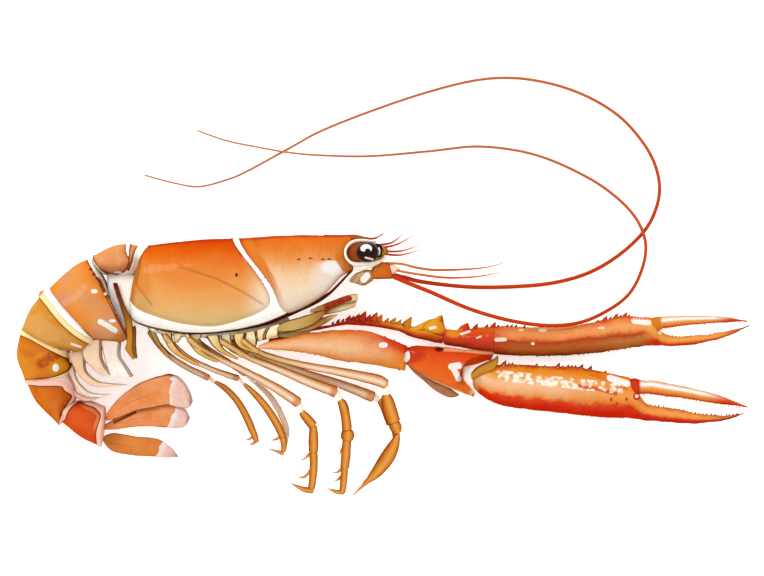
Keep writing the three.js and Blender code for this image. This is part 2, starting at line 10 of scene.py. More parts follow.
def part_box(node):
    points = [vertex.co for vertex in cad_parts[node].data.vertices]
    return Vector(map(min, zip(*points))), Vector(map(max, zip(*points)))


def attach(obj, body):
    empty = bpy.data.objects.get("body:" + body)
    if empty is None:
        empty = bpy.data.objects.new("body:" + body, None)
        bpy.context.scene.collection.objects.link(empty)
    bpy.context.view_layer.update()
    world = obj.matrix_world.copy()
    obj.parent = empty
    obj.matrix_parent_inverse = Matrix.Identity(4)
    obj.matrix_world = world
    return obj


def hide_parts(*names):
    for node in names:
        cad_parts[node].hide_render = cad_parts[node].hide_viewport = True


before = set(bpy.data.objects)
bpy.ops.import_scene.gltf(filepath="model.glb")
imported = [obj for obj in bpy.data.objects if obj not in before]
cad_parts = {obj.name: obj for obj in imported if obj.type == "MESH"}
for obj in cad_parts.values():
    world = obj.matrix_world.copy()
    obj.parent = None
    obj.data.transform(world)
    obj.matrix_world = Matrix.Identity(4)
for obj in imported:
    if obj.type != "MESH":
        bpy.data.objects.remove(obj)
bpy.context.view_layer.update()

# ---- Shield
# One stiff shell over head and chest, boiled to orange, and paler towards its lower edge. It is grown in two
# panels with a groove of thin cream shell between them, and a cream rim runs round both.
MM = 0.001
MID_Z = 13  # the plane that halves the head and chest, mm above the floor
EYE_FROM_MIDDLE = Vector((45.6, 9.9, 21))  # the right eye, from the floor under the shield's middle
eye_low, eye_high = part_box("eye_right")
MIDDLE = (eye_low + eye_high) / 2 - EYE_FROM_MIDDLE * MM
LIGHT = 1.5  # how much brighter a plain white sheet shows than a screen's white


def colour(code):
    """The shader's colour for a part that shows in the light as a screen colour such as ee8f4a."""
    parts = [int(code[i : i + 2], 16) / 255 for i in (0, 2, 4)]
    return (*[(p / 12.92 if p <= 0.04045 else ((p + 0.055) / 1.055) ** 2.4) / LIGHT for p in parts], 1)


class Field:
    """A value, colour or vector that varies over a surface: one socket of a material's nodes."""

    def __init__(self, tree, socket=None):
        self.tree = tree
        self.socket = socket

    def node(self, kind, settings=None, sockets=None, output=0):
        made = self.tree.nodes.new("ShaderNode" + kind)
        for name, value in (settings or {}).items():
            if name == "stops":
                for i, code in enumerate(value):
                    place = i / (len(value) - 1)
                    stops = made.color_ramp.elements
                    stop = stops[i] if i < 2 else stops.new(place)
                    stop.position = place
                    stop.color = colour(code)
            else:
                setattr(made, name, value)
        for name, value in (sockets or {}).items():
            if isinstance(value, Field):
                self.tree.links.new(value.socket, made.inputs[name])
            else:
                made.inputs[name].default_value = value
        return Field(self.tree, made.outputs[output])

    def maths(self, operation, *others):
        return self.node("Math", {"operation": operation}, dict(enumerate((self, *others))))

    def __add__(self, other):
        return self.maths("ADD", other)

    def __sub__(self, other):
        return self.maths("SUBTRACT", other)

    def __rsub__(self, other):
        return self.node("Math", {"operation": "SUBTRACT"}, {0: other, 1: self})

    def __mul__(self, other):
        return self.maths("MULTIPLY", other)

    def __truediv__(self, other):
        return self.maths("DIVIDE", other)

    def __abs__(self):
        return self.maths("ABSOLUTE")

    __radd__ = __add__
    __rmul__ = __mul__

    def rise(self, low, high):
        """0 where it is under low, 1 where it is over high, and smooth between them."""
        return self.node("MapRange", {"interpolation_type": "SMOOTHSTEP"}, {0: self, 1: low, 2: high})

    def over(self, under, top):
        """The colour top where this is 1, and the colour under where it is 0."""
        under, top = (colour(c) if isinstance(c, str) else c for c in (under, top))
        return self.node("Mix", {"data_type": "RGBA"}, {0: self, 6: under, 7: top}, 2)

    def coats(self, *pairs):
        """This colour with coats laid over it: pairs of where each one lies and its colour."""
        shade = self
        for where, top in zip(pairs[::2], pairs[1::2]):
            shade = where.over(shade, top)
        return shade

    def shades(self, codes, low=-1, high=1):
        """Colours laid evenly from low to high."""
        share = self.node("MapRange", {}, {0: self, 1: low, 2: high})
        return self.node("ValToRGB", {"stops": codes.split()}, {0: share})

    def kept(self, name):
        """What the mesh keeps at each vertex under that name."""
        return self.node("Attribute", {"attribute_name": name}, {}, "Fac")

    def place(self):
        """x and y in mm from the shield's middle."""
        spot = self.node("TexCoord", output="Object")
        parts = [self.node("SeparateXYZ", sockets={0: spot}, output=i) for i in (0, 1)]
        return [(part - MIDDLE[i]) / MM for i, part in enumerate(parts)]

    def brighter(self, times):
        """The colour, that many times as bright."""
        return self.node("VectorMath", {"operation": "SCALE"}, {"Vector": self, "Scale": times})

    def mottle(self, size, detail=3, stretch=(1, 1, 1)):
        """Uneven patches of about that size in mm, from 0 to 1, drawn out by stretch."""
        spot = self.node("TexCoord", output="Object")
        scale = [1 / (size * MM * s) for s in stretch]
        spot = self.node("VectorMath", {"operation": "MULTIPLY"}, {0: spot, 1: scale})
        return self.node("TexNoise", sockets={"Vector": spot, "Scale": 1, "Detail": detail})

    def blots(self, codes, size=None):
        """Two colours or more that run into each other in patches of that size, or where this says."""
        return (self.mottle(size) if size else self).shades(codes, 0.3, 0.7)

    def cells(self, size):
        """Round cells of about that size in mm, from 0 in their middles to 1 between them."""
        spot = self.node("TexCoord", output="Object")
        return self.node("TexVoronoi", sockets={"Vector": spot, "Scale": 1 / (size * MM)})

    def patch(self, x, y, wide, high, soft=0.5, ragged=0):
        """1 on an oval patch round x, y, seen from the side, with edges as ragged as asked."""
        here = self.place()
        across = (here[0] - x) / wide
        up = (here[1] - y) / high
        far = across * across + up * up
        if ragged:
            far = far + (self.mottle(1) - 0.5) * ragged
        return 1 - far.rise(1 - soft, 1 + soft)

    def stroke(self, width, points, soft=0.5):
        """1 on a line of that width through points, seen from the side, with soft edges."""
        here = self.place()
        gap = 1000
        for (x, y), (end_x, end_y) in zip(points, points[1:]):
            run = (end_x - x, end_y - y)
            long = math.hypot(*run)
            along = (here[0] - x) * (run[0] / long) + (here[1] - y) * (run[1] / long)
            over = (abs(along - long / 2) - long / 2).maths("MAXIMUM", 0)
            across = (here[0] - x) * (run[1] / long) - (here[1] - y) * (run[0] / long)
            gap = (over * over + across * across).maths("MINIMUM", gap)
        return 1 - gap.rise((width * (1 - soft) / 2) ** 2, (width / 2) ** 2)

    def marks(self, text):
        """This colour with marks over it: rows of colour, strength, softness, and four numbers for the x, y
        and half sizes of an oval, or a line's width and the x and y of its points."""
        shade = self
        for row in text.split(","):
            code, strength, soft, *numbers = row.split()
            strength, soft, *numbers = map(float, (strength, soft, *numbers))
            if len(numbers) == 4:
                where = self.patch(*numbers, soft)
            else:
                where = self.stroke(numbers[0], list(zip(numbers[1::2], numbers[2::2])), soft)
            shade = (where * strength).over(shade, code)
        return shade


def finish(name, paint, rough=0.4, specular=0.02, coat=0, coat_rough=0.03):
    """A material: fixed values for the shader's sockets, and what paint works out for the others."""
    made = bpy.data.materials.new(name)
    made.use_nodes = True
    tree = made.node_tree
    shader = tree.nodes["Principled BSDF"]
    fixed = {"Roughness": rough, "Specular IOR Level": specular, "Coat Roughness": coat_rough}
    for socket, value in fixed.items():
        shader.inputs[socket].default_value = value
    on = Field(tree)
    shade, relief, depth = paint(on)
    pores = on.mottle(0.55, 2).rise(0.5, 0.8) * 0.14
    facing = on.node("LayerWeight", sockets={"Blend": 0.5}, output=1)
    worked_out = {
        "Base Color": pores.over(shade, "a8642c"),
        "Coat Weight": (1 - facing.rise(0.06, 0.3)) * coat,
        "Normal": on.node("Bump", sockets={"Strength": 1, "Distance": depth * MM, "Height": relief}),
    }
    for socket, value in worked_out.items():
        tree.links.new(value.socket, shader.inputs[socket])
    return made


def rows(text):
    """Rows of numbers from text, with commas between the rows."""
    return [tuple(map(float, row.split())) for row in text.split(",")]


def groups(text):
    """Lists of such rows, with semicolons between the lists."""
    return [rows(part) for part in text.split(";")]


def spread(rows, share):
    """The numbers at a share of the way through rows of numbers, on smooth curves through them."""
    place = min(max(share, 0), 1) * (len(rows) - 1)
    first = min(int(place), len(rows) - 2)
    t = place - first
    picked = [rows[min(max(first + i, 0), len(rows) - 1)] for i in (-1, 0, 1, 2)]
    return [
        0.5 * (2 * b + (c - a) * t + (2 * a - 5 * b + 4 * c - d) * t**2 + (3 * b - a - 3 * c + d) * t**3)
        for a, b, c, d in zip(*picked)
    ]


BLUNT = 0.08  # how wide a limb still is at its very end, as a share


class Skin:
    """The skin of a body drawn through sections: middle, the way to the upper edge, half depth, and bow."""

    def __init__(self, sections, ends=(0.3, 0.3), corner=1):
        self.sections = sections
        self.ends = ends
        self.corner = corner

    def hoop(self, share):
        """At a share of the length: the middle, the ways up and out, and the bow of the hoop."""
        numbers = spread(self.sections, share)
        middle, up = Vector(numbers[:3]), Vector(numbers[3:6])
        ahead, behind = (Vector(spread(self.sections, share + step)[:3]) for step in (0.01, -0.01))
        along = (ahead - behind).normalized()
        fit = 1
        for reach, end in zip(self.ends, (self.sections[0], self.sections[-1])):
            near = min((middle - Vector(end[:3])).length / reach, 1)
            fit *= BLUNT + (1 - BLUNT) * math.sqrt(1 - (1 - near) ** 2)
        out = along.cross(up).normalized() * numbers[6]
        return middle, up * fit, out * fit, along * numbers[7]

    def point(self, hoop, turn):
        """A point of the hoop, and how high and how near the right side it lies there, from -1 to 1."""
        middle, up, out, bow = hoop
        angle = 2 * math.pi * turn
        near, high = (math.copysign(abs(v) ** self.corner, v) for v in (math.cos(angle), math.sin(angle)))
        return middle + up * high + out * near + bow * (1 - high**4), high, near


def new_piece():
    """An empty mesh whose vertices keep how far along, high and near they lie on their limb."""
    bm = bmesh.new()
    for name in ("along", "high", "near", "inside", "tip"):
        bm.verts.layers.float.new(name)
    return bm


def loft(bm, skin, sides, steps, crowd=0.1, **kept):
    """Adds the closed body under a skin: a grid rolled up and welded, and a cap on each end."""
    layers = bm.verts.layers.float
    along, high, near = layers["along"], layers["high"], layers["near"]
    wall = bmesh.ops.create_grid(bm, x_segments=sides, y_segments=steps, size=1)["verts"]
    hoops = {}
    seam, ends = [], {0: [], steps: []}
    for vert in wall:
        turn = (vert.co.x + 1) / 2
        step = round((vert.co.y + 1) / 2 * steps)
        if step not in hoops:
            share = step / steps - crowd * math.sin(2 * math.pi * step / steps)
            hoops[step] = share, skin.hoop(share)
        vert[along], hoop = hoops[step]
        spot, vert[high], vert[near] = skin.point(hoop, turn)
        vert.co = MIDDLE + Vector((spot.x, spot.y, max(spot.z, 0))) * MM
        if min(turn, 1 - turn) < 0.1 / sides:
            seam.append(vert)
        if step in ends:
            ends[step].append(vert)
    bmesh.ops.remove_doubles(bm, verts=seam, dist=1e-8)
    made = [vert for vert in wall if vert.is_valid]
    for step, rim in ends.items():
        rim = {vert for vert in rim if vert.is_valid}
        edges = [edge for edge in {e for vert in rim for e in vert.link_edges} if set(edge.verts) <= rim]
        cap = bmesh.ops.contextual_create(bm, geom=edges)["faces"]
        for vert in bmesh.ops.poke(bm, faces=cap)["verts"]:
            vert[along] = step / steps
            made.append(vert)
    for name, value in kept.items():
        for vert in made:
            vert[layers[name]] = value
    return made


def uneven(spot, size):
    """Smooth unevenness of about that size in mm, from -1 to 1."""
    return noise.noise(Vector(spot) / size)


def roughen(bm, verts, lift, size=None):
    """Moves vertices out unevenly, by lift at that size, or by lift as a function of vertex and place."""
    bm.normal_update()
    moves = []
    for vert in verts:
        spot = (vert.co - MIDDLE) / MM
        moves.append(vert.normal * (lift * uneven(spot, size) if size else lift(vert, spot)) * MM)
    for vert, move in zip(verts, moves):
        vert.co += move


def place_piece(name, bm, material, node, levels=0):
    """The finished piece, in the place of its solid."""
    bmesh.ops.recalc_face_normals(bm, faces=bm.faces)
    for vert in bm.verts:
        vert.co.z = max(vert.co.z, 0)
    for face in bm.faces:
        face.smooth = True
    mesh = bpy.data.meshes.new(name)
    bm.to_mesh(mesh)
    bm.free()
    piece = bpy.data.objects.new(name, mesh)
    bpy.context.scene.collection.objects.link(piece)
    piece.data.materials.append(material)
    if levels:
        smoother = piece.modifiers.new("Subdivision", "SUBSURF")
        smoother.levels = levels
        smoother.render_levels = levels
    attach(piece, "root")
    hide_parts(node)


def slices(rows, z):
    """Sections from rows of upper x, upper y, lower x, lower y, half width."""
    return [((a + c) / 2, (b + d) / 2, z, (a - c) / 2, (b - d) / 2, 0, half, 0) for a, b, c, d, half in rows]


def reaches(points):
    """How far along the line through points each of them lies, from 0 to 1."""
    lengths = [0]
    for before, after in zip(points, points[1:]):
        lengths.append(lengths[-1] + math.dist(before, after))
    return [length / lengths[-1] for length in lengths]


def limb(rows, from_z=None, to_z=None, flatness=0.85):
    """Sections from rows of x, y, z and half height, or of x, y and half height where z changes evenly."""
    if from_z is not None:
        shares = reaches([row[:2] for row in rows])
        rows = [(x, y, from_z + (to_z - from_z) * share, half) for (x, y, half), share in zip(rows, shares)]
    sections = []
    for i, (x, y, z, half) in enumerate(rows):
        before, after = rows[max(i - 1, 0)], rows[min(i + 1, len(rows) - 1)]
        along = Vector((after[0] - before[0], after[1] - before[1])).normalized()
        sections.append((x, y, z, -along.y * half, along.x * half, 0, half * flatness, 0))
    return sections


def profile(rows, from_z, to_z, flatness=0.75, depth=None, bow=0):
    """Sections from rows of upper x, upper y, lower x, lower y, or of x, upper y and lower y.

    The bow grows to its full size at the end."""
    rows = [row if len(row) == 4 else (row[0], row[1], row[0], row[2]) for row in rows]
    middles = [((a + c) / 2, (b + d) / 2) for a, b, c, d in rows]
    sections = []
    for (a, b, c, d), middle, share in zip(rows, middles, reaches(middles)):
        half = depth or flatness * math.hypot(a - c, b - d) / 2
        z = from_z + (to_z - from_z) * share
        sections.append((*middle, z, (a - c) / 2, (b - d) / 2, 0, half, bow * share**3))
    return sections


def outline(points, count=90):
    """A smooth closed outline through points, as an array of x and y."""
    ring = points[-2:] + points + points[:2]
    shares = [(2 + len(points) * i / count) / (len(ring) - 1) for i in range(count)]
    return np.array([spread(ring, share) for share in shares])


def inset(edge, spots):
    """How far in mm each spot lies inside an outline, or minus how far outside it, seen from the side."""
    run = np.roll(edge, -1, axis=0) - edge
    gap = spots[:, None, :2] - edge
    share = np.clip((gap * run).sum(axis=2) / (run**2).sum(axis=1), 0, 1)
    distance = np.linalg.norm(gap - share[..., None] * run, axis=2).min(axis=1)
    x, y = spots[:, 0, None], spots[:, 1, None]
    crossed = (edge[:, 1] > y) != (edge[:, 1] + run[:, 1] > y)
    slope = run[:, 0] / np.where(np.abs(run[:, 1]) < 1e-9, 1e-9, run[:, 1])
    crossed &= x < edge[:, 0] + (y - edge[:, 1]) * slope
    return np.where(crossed.sum(axis=1) % 2 == 1, distance, -distance)


def lay_plates(bm, verts, edges, thickness, lip=0.5, foot=0.2):
    """Raises the plates inside their outlines, and keeps how far inside a plate each vertex lies."""
    spots = np.array([(vert.co - MIDDLE) / MM for vert in verts])
    deepest = np.max([inset(outline(edge), spots) for edge in edges], axis=0)
    inside = bm.verts.layers.float["inside"]
    for vert, depth in zip(verts, deepest):
        vert[inside] = depth
    risen = dict(zip(verts, np.clip((deepest + foot) / lip, 0, 1)))
    roughen(bm, verts, lambda vert, spot: thickness * risen[vert] ** 2 * (3 - 2 * risen[vert]))


SHIELD = rows("""
    -17.6 11.7 -22.1 -6 9.4, -15.4 12.1 -18.4 -10 11.2, -9.8 12.9 -9.8 -12.3 12.5, -1.4 13.7 -1.4 -13.2 13.2,
    8.4 14.1 8.4 -12.3 13.2, 16.8 14.6 16.8 -10.6 12.5, 25.2 15 26.6 -6.7 10.9, 32.2 15 33.6 -3.1 8.8,
    37.4 14.8 37.8 0.7 7, 40 14.6 40.6 3.8 5.2, 42.6 14.4 42.8 5.4 3""")
REAR_PANEL = rows("""
    -14.6 18.5, -15.1 12.6, -16.9 9.8, -19.7 4.5, -21.1 0.1, -20.9 -2.5, -18 -5.9, -11.8 -8.4, -5.3 -10.1,
    3.1 -10.7, 11.2 -8.7, 16.5 -6.4, 18.6 -4.4, 18.3 -1.4, 14.7 4.5, 10.9 9.4, 8.7 12.7, 7.6 15.4,
    6.2 18.5""")
FRONT_PANEL = rows("""
    8.1 18.5, 9.7 14, 12.1 9.6, 16.1 4.6, 18.8 0.8, 20.2 -2.2, 21.5 -5.4, 23.4 -7, 26.6 -6, 30.2 -4.2,
    33.6 -2, 36.1 0.6, 38.6 3.2, 41.9 5.1, 44 8, 46 11, 50.1 13.7, 52.4 18.5""")
CREASES = groups("-5.6 5.6, 4 2.6, 10.4 -0.6, 16.6 -4.4; -17.2 7.4, -18.4 1.2, -14 -4.6")
BEAK = rows("""
    33 14.9 12.2, 38 14.8 12.9, 41.9 14.9 13.4, 44.3 14.4 13.4, 46.2 14.1 46.3 13.4, 47.7 14.2 13.6,
    48.9 14.7 49 14.3, 50.2 15.5 50.3 15.3""")
BROW = rows("36 10.4 3, 42 10.6 2.6, 48 10.4 2, 51.4 10.2 0.7")
FINE_SPINES = groups("""
    48.4 12 0.4, 52.4 12.7 0.3, 55.8 15.5 0.06; 49 11.2 0.4, 53.6 12.1 0.3, 58.8 15 0.06; 49.4 10.3 0.4,
    54.8 10.3 0.3, 60.4 12.1 0.06; 49.4 9.6 0.4, 54.8 9.2 0.3, 60.6 10.8 0.06""")
# The cream rim of the eye socket: x, y, height over the middle plane, and radius.
ORBIT = rows("""
    50.2 8.6 4.8 0.2, 47.4 7.2 5.2 0.4, 44.4 6.8 5.4 0.5, 41.8 6.7 6 0.5, 40.1 7.8 6.6 0.38,
    39.4 9.4 6.8 0.36, 39.7 11.2 6.4 0.38, 41.4 12.8 5.4 0.44, 44 13.2 4.4 0.44, 48 12.9 3.6 0.28""")
LID = rows("41.2 6.9 41.8 5, 43.5 6.9 44 4.9, 46.5 7.4 46.6 5.7, 49 8.2 49.2 7, 50.8 9.1 51 8.6")
PIT = (9.5, 3.6)


def near_line(spot, points, reach):
    """1 on a line through points, and 0 where it is reach away from it."""
    nearest = reach
    for start, end in zip(points, points[1:]):
        start, run = Vector(start), Vector(end) - Vector(start)
        share = min(max((Vector(spot[:2]) - start).dot(run) / run.length_squared, 0), 1)
        nearest = min(nearest, (Vector(spot[:2]) - start - run * share).length)
    return 1 - nearest / reach


def shield_lift(vert, spot):
    pit = max(0, 1 - (Vector(spot[:2]) - Vector(PIT)).length / 0.7)
    grain = 0.03 * uneven(spot, 0.8) + 0.1 * uneven(spot, 4) + 0.16 * uneven(spot, 11)
    creases = sum(near_line(spot, crease, 1) for crease in CREASES)
    return grain + 0.16 * creases - 0.4 * pit


def shield_paint(on):
    x, y = on.place()
    inside, high = on.kept("inside"), on.kept("high")
    wash = on.mottle(6, 5)
    brushed = on.mottle(1.3, 4, (0.5, 2, 1))
    drift = y + 4.4 * (wash - 0.5) + 2.4 * (brushed - 0.5)
    rear = drift.shades("dfc58a ecba74 f2a75c f19d4e ec8228 e46410 d23a04", -10.5, 13.8)
    front = drift.shades("fcecd2 feead2 fee4c4 fccea0 f5a864 ea8430 e0681a", -8, 14.6)
    panel = x.rise(10, 19).over(rear, front)
    panel = panel.marks("""
        ec8434 0.5 0.8 -2 3 9 3.6, e68a36 0.7 0.6 -17.6 0.5 3.4 9, d9b270 0.6 0.6 -17 -4.6 3.8 3""")
    hook = on.stroke(3.4, rows("43 14.4, 40.4 13.2, 38.4 11, 38 8.4, 39.6 5.9, 42.4 5.2"), soft=0.3)
    beside = on.stroke(3.4, rows("12.2 13, 15.4 8, 18.6 2.4, 20.6 -2.4, 21.8 -5.4"))
    # The first two coats are a painted highlight on the front panel: a wide soft pale patch with a crisp
    # white one on it.
    panel = panel.coats(
        on.patch(35, 2.6, 5, 5.4, 0.9) * (8 - y).rise(0, 1.4) * 0.7, "fdf0e2",
        on.patch(35.8, 5.8, 2.9, 2.1, 0.6, 1.6) * (7.7 - y).rise(0, 0.3), "fffdf8",
        hook * 0.9, wash.blots("d8681a ec8428"),
        beside * y.rise(-9, 6) * 0.9, "e67f28",
    )
    panel = panel.marks("""
        b8682c 0.5 0.5 0.5 17.4 5.3 19.6 0.6 21.4 -6, 7a2a0c 0.9 0.5 0.9 8 13.9 9.4 11.4 11 8.8""")
    near_edge = 1 - inside.rise(0.15, 1 + wash)
    panel = panel.coats(
        near_edge * 0.4, y.shades("c39a58 d9862f d04a12", -9, 13),
        high.rise(0.9, 0.985) * 0.9, "c2340a",
        *[coat for crease in CREASES for coat in (on.stroke(1, crease, soft=1) * 0.4, "a8561c")],
        (1 - inside.rise(0.12, 0.34)) * (1 - (0 - y).rise(-2, 7)) * 0.85, "9c3210",
        on.patch(*PIT, 0.38, 0.55), "4a180c",
    )
    panel = panel.marks("""
        6b2a12 0.8 0.5 26.6 7.9 0.6 0.28, 6b2a12 0.8 0.5 29.8 8.2 0.6 0.28,
        6b2a12 0.8 0.5 33.2 7.9 0.6 0.28, 6b2a12 0.8 0.5 35 8 0.6 0.28""")
    bare = on.blots("fef7ec fffdf8", 2.5)
    rim = (1 - (high - x.rise(8, 30) * 0.06).rise(-0.95, -0.925)) * abs(on.kept("near")).rise(0.16, 0.26)
    bare = rim.over(bare.brighter(1.26), x.shades("9c5a28 561c0a", -16, -2))
    return inside.rise(-0.08, 0.12).over(bare, panel), on.mottle(0.5, 2) + 2 * wash + brushed, 0.1


SHELL = (0.4, 0, 0.16, 0.12)  # roughness, specular, coat and its roughness
bm = new_piece()
body = loft(bm, Skin(slices(SHIELD, MID_Z), (2.4, 2), 0.76), 150, 190)
lay_plates(bm, body, [REAR_PANEL, FRONT_PANEL], thickness=0.3)
roughen(bm, body, shield_lift)
shield_shell = finish("boiled_shield_shell", shield_paint, *SHELL)
place_piece("shield_panels", bm, shield_shell, "shield")


def brow_paint(on):
    x, y = on.place()
    wash = on.mottle(2, 4)
    shade = (x + 3 * (wash - 0.5)).shades("e2782a de7a24 a8601c c8431c d8562c e58a5c", 34, 60)
    return (y - 14.1).rise(0, 0.4).over(shade, "b83408"), wash, 0.1


bm = new_piece()
body = loft(bm, Skin(profile(BEAK, 14, 14, depth=1.6), (0.4, 0.3)), 18, 40)
body += loft(bm, Skin(limb(BROW, MID_Z, MID_Z, 0.55), (0.5, 1)), 18, 20)
roughen(bm, body, 0.1, 1.3)
for row, spine in enumerate(FINE_SPINES):
    for side in (-1, 1):
        sections = limb(spine, MID_Z + side * 0.5, MID_Z + side * (0.9 + 0.4 * row), 1)
        loft(bm, Skin(sections, (0.2, 0.2)), 8, 20)
brow_shell = finish("boiled_beak_shell", brow_paint, *SHELL)
place_piece("beak_and_spines", bm, brow_shell, "shield", levels=1)


def cream_paint(on):
    wash = on.mottle(1.5)
    return wash.blots("fdf0dc fffaf0").brighter(1.15), wash, 0.06


bm = new_piece()
for side in (-1, 1):
    rim = [(x, y, MID_Z + side * away, radius) for x, y, away, radius in ORBIT]
    loft(bm, Skin(limb(rim, flatness=1)), 12, 60)
    away = MID_Z + side * 4.8
    loft(bm, Skin(profile(LID, away, away, depth=0.5)), 20, 24)
place_piece("orbit_rims", bm, finish("cream_rim_shell", cream_paint), "shield")

# ---- Eyes
# A black, glossy, bulging eye on a brown stalk, one on each side of the beak, standing out of its cream rim.
STALK = rows("""
    39.8 9.8 9.2, 40.6 11.5 7.6, 42.9 12.5 7.2, 46 12.6 7.2, 48.8 12.3 7.7, 50.2 11.3 9, 51.4 10.4 10.1""")
EYE_RADII = Vector((3.05, 2.75, 1.9))
SIDES = (("right", 1), ("left", -1))


def stalk_paint(on):
    x = on.place()[0]
    wash = on.mottle(1.2, 4)
    shade = (x + 1.4 * (wash - 0.5)).shades("6e2c10 a04c1a 8a3d14 5a2810 c08a2c b8641c", 39.5, 51.5)
    patches = on.mottle(0.8, 1).rise(0.5, 0.6) * x.rise(48.6, 49.2)
    shade = (patches * 0.8).over(shade, "4a1e0e")
    # The white crescent beside the black patch is a painted highlight.
    return shade.marks("1c0a06 1 0.2 48.6 10.6 1.1 2.2, fffaf2 1 0.3 48.7 10.2 0.4 1.1"), wash, 0.08


def eye_paint(on):
    x, y = on.place()
    # A painted highlight: a white C-shaped reflection painted into the eye's colour. The pale bar marked at
    # the end is a painted highlight too.
    painted_glint = on.patch(45.2, 10.9, 1.6, 1.2, 0.15) * (1 - on.patch(45.6, 10.2, 0.8, 0.7, 0.3))
    painted_glint = painted_glint * (y - 9.9 + 0.2 * (x - 45)).rise(0, 0.2)
    shade = painted_glint.over(on.mottle(1.5).shades("120605 240c08", 0.3, 0.75), "fffdf8")
    return shade.marks("f2dcd2 1 0.3 0.6 45 8.4 47 7.9"), on.cells(0.22), 0.02


stalk_shell = finish("brown_stalk_shell", stalk_paint, 0.36)
eye_black = finish("glossy_black_eye", eye_paint, 0.06, 0.1)
for side, mirror in SIDES:
    bm = new_piece()
    z = MID_Z + mirror * 5
    roughen(bm, loft(bm, Skin(profile(STALK, z, z, 0.8)), 32, 40), 0.08, 1)
    place_piece("eye_stalk_" + side, bm, stalk_shell, "stalk_" + side, levels=1)

    bm = new_piece()
    low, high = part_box("eye_" + side)
    middle = Matrix.Translation((low + high) / 2)
    radii = Matrix.Diagonal((*(EYE_RADII * MM), 1))
    bmesh.ops.create_uvsphere(bm, u_segments=48, v_segments=32, radius=1, matrix=middle @ radii)
    place_piece("eye_ball_" + side, bm, eye_black, "eye_" + side)

# ---- Roots of the long antennae
# A chunky orange joint, with a flat tan scale behind it that has a white spot.
ROOT = rows("46.5 5.3 46.4 3.6, 47.6 6.5 47.2 2.5, 48.9 7.2 49.1 2.5, 50.3 7.2 51 2.5, 51.9 6.7 52.7 2.6")
SCALE = rows("""
    40.3 2.2 40.5 1.6, 41.9 3.9 42.4 1.2, 43.8 4.7 44.3 0.6, 45.6 5.1 45.8 1.3, 46.9 5 47.4 2.4""")


def root_paint(on):
    x, y = on.place()
    wash = on.mottle(2, 4)
    joint = (x + 2 * (wash - 0.5)).shades("c05a18 d9721c d66a1a d0501c", 45, 53)
    scale = (x + wash).shades("c09a68 c9a070 c07a34", 40.5, 47)
    front = (x + 0.3 * y).rise(47.4, 47.9)
    fan = (x * 3.2 - y * 2.4).maths("SINE")
    shade = (fan.rise(0.2, 1) * (1 - front) * 0.5).over(front.over(scale, joint), "8a5424")
    shade = shade.marks("fffaf4 1 0.2 2.1 44.5 2.4 45.4 3.4")
    return (abs(on.kept("high")).rise(0.8, 0.95) * 0.85).over(shade, "6e2c10"), wash, 0.12


root_shell = finish("orange_root_shell", root_paint, *SHELL)
for side, mirror in SIDES:
    bm = new_piece()
    joint = profile(ROOT, MID_Z + mirror * 3, MID_Z + mirror * 3.6, 0.8)
    scale = profile(SCALE, MID_Z + mirror * 4, MID_Z + mirror * 4.2, 0.35)
    body = loft(bm, Skin(joint, (0.5, 0.4), 0.9), 30, 30)
    body += loft(bm, Skin(scale, (0.4, 0.4), 0.95), 26, 26)
    roughen(bm, body, 0.1, 1.4)
    place_piece("antenna_base_" + side, bm, root_shell, "antenna_root_" + side, levels=1)

# ---- Long antennae
# Each is a whip of hundreds of tiny hoops, red and thick at its root, and salmon pink and hair thin at its
# end. It sweeps forward, round and back over the animal, and lies on the floor.
ROUTES = {
    "right": rows("""
        52 3.5 16.6, 57 1.3 15.6, 63 -1.1 14.2, 74.2 -5.9 11.8, 85.4 -9.1 9.6, 96 -10.5 7.8, 105 -9.7 6,
        112.8 -6.4 4.4, 119 -1.7 3.3, 122.6 5 2.8, 123.8 11.8 2.4, 122.1 17.9 1.5, 118.2 23.2 0.6,
        112 28.4 0.6, 105 32.5 0.6, 96 36.5 0.6, 86.8 38.9 0.6, 75.6 39.9 0.5, 63 38.6 0.5, 46.2 37.2 0.5,
        32.2 37.4 1.2, 23 38.2 1.9, 14 39.8 1.2, 5.6 41.6 0.4, -2.8 44.5 0.2"""),
    "left": rows("""
        52 3.8 9.8, 56 2.9 8, 61.6 1.6 5.8, 74.2 0.3 2.2, 86.8 0.4 0.6, 98 1.5 0.6, 107.8 4.3 0.6,
        116.2 9.2 0.6, 123.2 15.7 0.6, 126.6 21.8 0.6, 127.8 28.3 0.6, 126.3 35.3 0.6, 122.4 42 0.6,
        116.2 48.6 0.6, 107.8 53.8 0.6, 98 57.4 0.6, 86.8 59.2 0.6, 75.6 58.5 0.5, 61.6 55 0.5,
        46.2 49.8 0.5, 32.2 44.2 0.5, 23 39.2 0.4, 11.2 32.8 0.4, 5.6 30.5 0.3, -2.2 28.6 0.3, -9.8 29.8 0.2,
        -17.6 31.9 0.2"""),
}
ANTENNA_RADII = (0.66, 0.24)  # at the root and at the end
HOOPS = 340


def antenna_paint(on):
    along = on.kept("along")
    shade = (along + 0.14 * (on.mottle(6, 4) - 0.5)).shades(
        "d43a14 d2400f c83c0c c8481c cc6436 cc6c40 c86c48 d08058 d8906c", 0, 1
    )
    return shade, (along * (HOOPS * math.pi)).maths("SINE"), 0.03


antenna_shell = finish("red_antenna_shell", antenna_paint, 0.45)
for side, route in ROUTES.items():
    first, last = ANTENNA_RADII
    whip = [(*spot, first + (last - first) * i / (len(route) - 1)) for i, spot in enumerate(route)]
    bm = new_piece()
    loft(bm, Skin(limb(whip, flatness=1), (0.2, 0.2)), 10, HOOPS, crowd=0)
    place_piece("long_antenna_" + side, bm, antenna_shell, "antenna_" + side)

